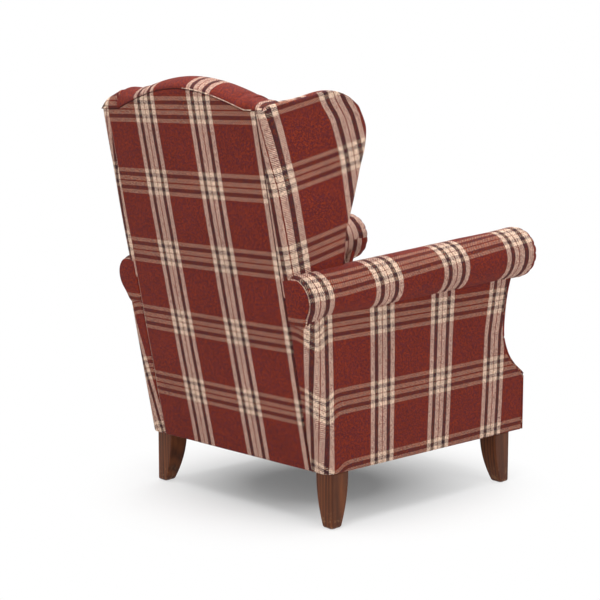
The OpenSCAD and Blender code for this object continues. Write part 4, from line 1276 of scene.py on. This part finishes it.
def dust_cover():
    """Black cloth under the seat, cut out round the legs and stapled to the rails."""
    low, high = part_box("dust_cover")
    legs = [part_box("leg_%s_%s" % (end, label)) for end in ("front", "rear") for label in ("left", "right")]
    gap, sag_most, inset = 0.003, 0.005, 0.007

    def cuts(axis, count):
        """Places where the cloth is divided along an axis: evenly, and at the legs' cut-outs."""
        even = [mix(low[axis], high[axis], k / count) for k in range(count + 1)]
        edges = [corner[axis] + way * gap for pair in legs for corner, way in zip(pair, (-1, 1))]
        return sorted({round(c, 5) for c in even + [e for e in edges if low[axis] < e < high[axis]]})

    xs, ys = cuts(0, 40), cuts(1, 44)

    def kept(i, j):
        if not (0 <= i < len(xs) - 1 and 0 <= j < len(ys) - 1):
            return False
        x, y = (xs[i] + xs[i + 1]) / 2, (ys[j] + ys[j + 1]) / 2
        return not any(a.x - gap < x < b.x + gap and a.y - gap < y < b.y + gap for a, b in legs)

    points, numbers, faces, corner_uvs = [], {}, [], []

    def point(i, j, upper):
        if (i, j, upper) not in numbers:
            numbers[i, j, upper] = len(points)
            x, y = xs[i], ys[j]
            across, along = (x - low.x) / (high.x - low.x), (y - low.y) / (high.y - low.y)
            sag = sag_most * max(sin(pi * across) * sin(pi * along), 0) ** 0.7
            crease = ripple(Vector((x, y, 0)), 0.0012, 12) * min(1, 8 * sag / sag_most)
            points.append(Vector((x, y, (high.z if upper else high.z - 0.001) - sag + crease)))
        return numbers[i, j, upper]

    def add(*corners):
        faces.append([point(*c) for c in corners])
        corner_uvs.append([(xs[i], ys[j]) for i, j, _ in corners])

    for i in range(len(xs) - 1):
        for j in range(len(ys) - 1):
            if not kept(i, j):
                continue
            corners = [(i, j), (i + 1, j), (i + 1, j + 1), (i, j + 1)]
            add(*[(*c, True) for c in corners])
            add(*[(*corners[k], False) for k in (0, 3, 2, 1)])
            for di, dj, start, end in ((-1, 0, 0, 3), (1, 0, 2, 1), (0, -1, 1, 0), (0, 1, 3, 2)):
                if not kept(i + di, j + dj):
                    a, b = corners[start], corners[end]
                    add((*a, False), (*a, True), (*b, True), (*b, False))
    piece = finish_mesh("dust_cover_cloth", points, faces, corner_uvs, dust_cloth)
    dress(piece, stands_for=["dust_cover"])
    ends = [[(x, y) for x in (-0.25, 0.25)] for y in (low.y + inset, high.y - inset)]
    ends += [[(x, y) for y in (-0.31, 0.19)] for x in (low.x + inset, high.x - inset)]
    rows = [(place, run, (0, 0, -1)) for pair in ends
            for place, run in evenly([Vector((x, y, high.z - 0.0013)) for x, y in pair], 0.042)]
    bars("dust_cover_staples", rows, "chair", "steel", steel,
         Length=0.011, Width=0.0012, Height=0.0008, Square=True)


def leg(side, end, label):
    """Tapered leg: two upright outer faces and two inner faces that curve in to the foot."""
    name = "leg_%s_%s" % (end, label)
    top_w, foot_w, top_z, glide = 0.0555, 0.030, 0.1357, 0.003
    curve = top_w - foot_w
    radius = (top_z ** 2 + curve ** 2) / (2 * curve)
    corner_x = SIDE_X - 0.005
    corner_y, inward = (FRONT_Y + 0.053, 1) if end == "front" else (REAR_Y - 0.017, -1)
    arris, rows, arc = 0.0022, 44, 5
    corners = ((-1, -1, pi), (1, -1, -pi / 2), (1, 1, 0), (-1, 1, pi / 2))
    rings = []
    for level in range(rows + 1):
        z = mix(glide, top_z, level / rows)
        width = top_w - radius + sqrt(radius ** 2 - (top_z - z) ** 2)
        inset = arris if level else arris + 0.0015
        ring = []
        for sx, sy, start in corners:
            ox, oy = max(sx, 0) * width - sx * inset, max(sy, 0) * width - sy * inset
            for k in range(arc + 1):
                turn = start + pi / 2 * k / arc
                u, v = ox + arris * cos(turn), oy + arris * sin(turn)
                ring.append(Vector((side * (corner_x - u), corner_y + inward * v, z)))
        rings.append(ring)
    cloths = [[(p.x, p.z) for p in ring + ring[:1]] for ring in rings]
    dress(tube(name + "_turned", rings, cloths, walnut), stands_for=[name])


# The chair

outside_back()
inside_back()
for side, label in ((1, "left"), (-1, "right")):
    for make in (wing_pad, outside_wing, arm_roll, outside_arm, arm_rear, shoulder, arm_facing, facing_seam,
                 inside_arm):
        make(side, label)
    for end in ("front", "rear"):
        leg(side, end, label)
front_border()
seat_deck()
seat_cushion()
back_seam()
crest_fold()
dust_cover()

# Pieces of the frame that keep their plain solid; each name is the start of a piece's name
FINISHES = (
    (beech, ("back_post", "top_rail", "back_tack_rail", "front_rail", "rear_rail", "side_rail", "arm_stump",
             "arm_upright", "arm_rail", "arm_tack_rail", "wing_frame", "scroll_board", "corner_blocks")),
    (steel, ("block_screws", "leg_bolts", "leg_plates", "leg_glides")),
    (spring_steel, ("seat_springs", "spring_clips")),
    (hessian, ("spring_cover", "back_lining")),
    (foam, ("cushion_core",)),
    (webbing, ("back_webbing",)))
for name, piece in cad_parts.items():
    for material, starts in FINISHES:
        if name.startswith(starts):
            piece.data.materials.clear()
            piece.data.materials.append(material)


# Stage, light and camera


def seen_directly(tree):
    """1 for a ray from the camera and for a glossy or transmission ray, else 0."""
    path = node(tree, "ShaderNodeLightPath").outputs
    passed_on = calc(tree, "MAXIMUM", path["Is Glossy Ray"], path["Is Transmission Ray"])
    return calc(tree, "MAXIMUM", path["Is Camera Ray"], passed_on)


def floor():
    """A floor that looks white away from the chair and takes its shadow close by."""
    bpy.ops.mesh.primitive_plane_add(size=14, location=(0, 0, 0))
    ground = bpy.context.object
    ground.name = "floor"
    made, tree, shader = surface_material("pale_floor", 0.9, Base_Color=(0.86, 0.86, 0.86, 1))
    white = output(tree, "ShaderNodeEmission", {"Color": WHITE, "Strength": 1.0})
    away = node(tree, "ShaderNodeVectorMath", {0: own_place(tree)}, operation="LENGTH").outputs["Value"]
    share = times(tree, seen_directly(tree), spread(tree, away, 0.16, 0.64, 0.1, 1.0))
    blend = output(tree, "ShaderNodeMixShader", {0: share, 1: shader.outputs[0], 2: white})
    feed(tree, tree.nodes["Material Output"], Surface=blend)
    ground.data.materials.append(made)


def world_light():
    """White to the camera, and a soft light to everything else."""
    world = bpy.data.worlds.new("studio")
    scene.world = world
    world.use_nodes = True
    tree = world.node_tree
    soft, white = [output(tree, "ShaderNodeBackground", {"Color": WHITE, "Strength": strength})
                   for strength in (0.35, 1.0)]
    blend = output(tree, "ShaderNodeMixShader", {0: seen_directly(tree), 1: soft, 2: white})
    feed(tree, tree.nodes["World Output"], Surface=blend)


def lamp(name, place, size, power):
    """An area light aimed at the chair's middle."""
    light = bpy.data.lights.new(name, "AREA")
    light.energy = power
    light.size = size
    made = into_scene(name, light)
    made.location = place
    made.rotation_mode = "QUATERNION"
    made.rotation_quaternion = (Vector((0, 0, 0.5)) - Vector(place)).to_track_quat("-Z", "Y")


def camera():
    """The photo's view, as fitted to the legs, the body's lower edge and the back panel."""
    lens = bpy.data.cameras.new("camera")
    lens.sensor_width = 36
    lens.lens = 90.7
    lens.clip_end = 50
    made = into_scene("camera", lens)
    right = Vector((-0.690645, -0.723194, 0.000454))
    up = Vector((0.099541, -0.094439, 0.990542))
    ahead = Vector((0.716311, -0.684158, -0.137211))
    turn = Matrix((right, up, -ahead)).transposed().to_4x4()
    made.matrix_world = Matrix.Translation((-2.7944, 2.7308, 1.0353)) @ turn
    scene.camera = made


floor()
world_light()
lamp("top_light", (-0.1, 0.5, 3.3), size=2.6, power=108)
lamp("back_light", (-1.2, 3.4, 1.9), size=2.0, power=32)
lamp("side_light", (-3.4, -0.4, 1.8), size=2.2, power=37)
lamp("front_light", (1.8, -3.2, 2.0), size=2.6, power=34)
camera()
scene.view_settings.view_transform = "Standard"
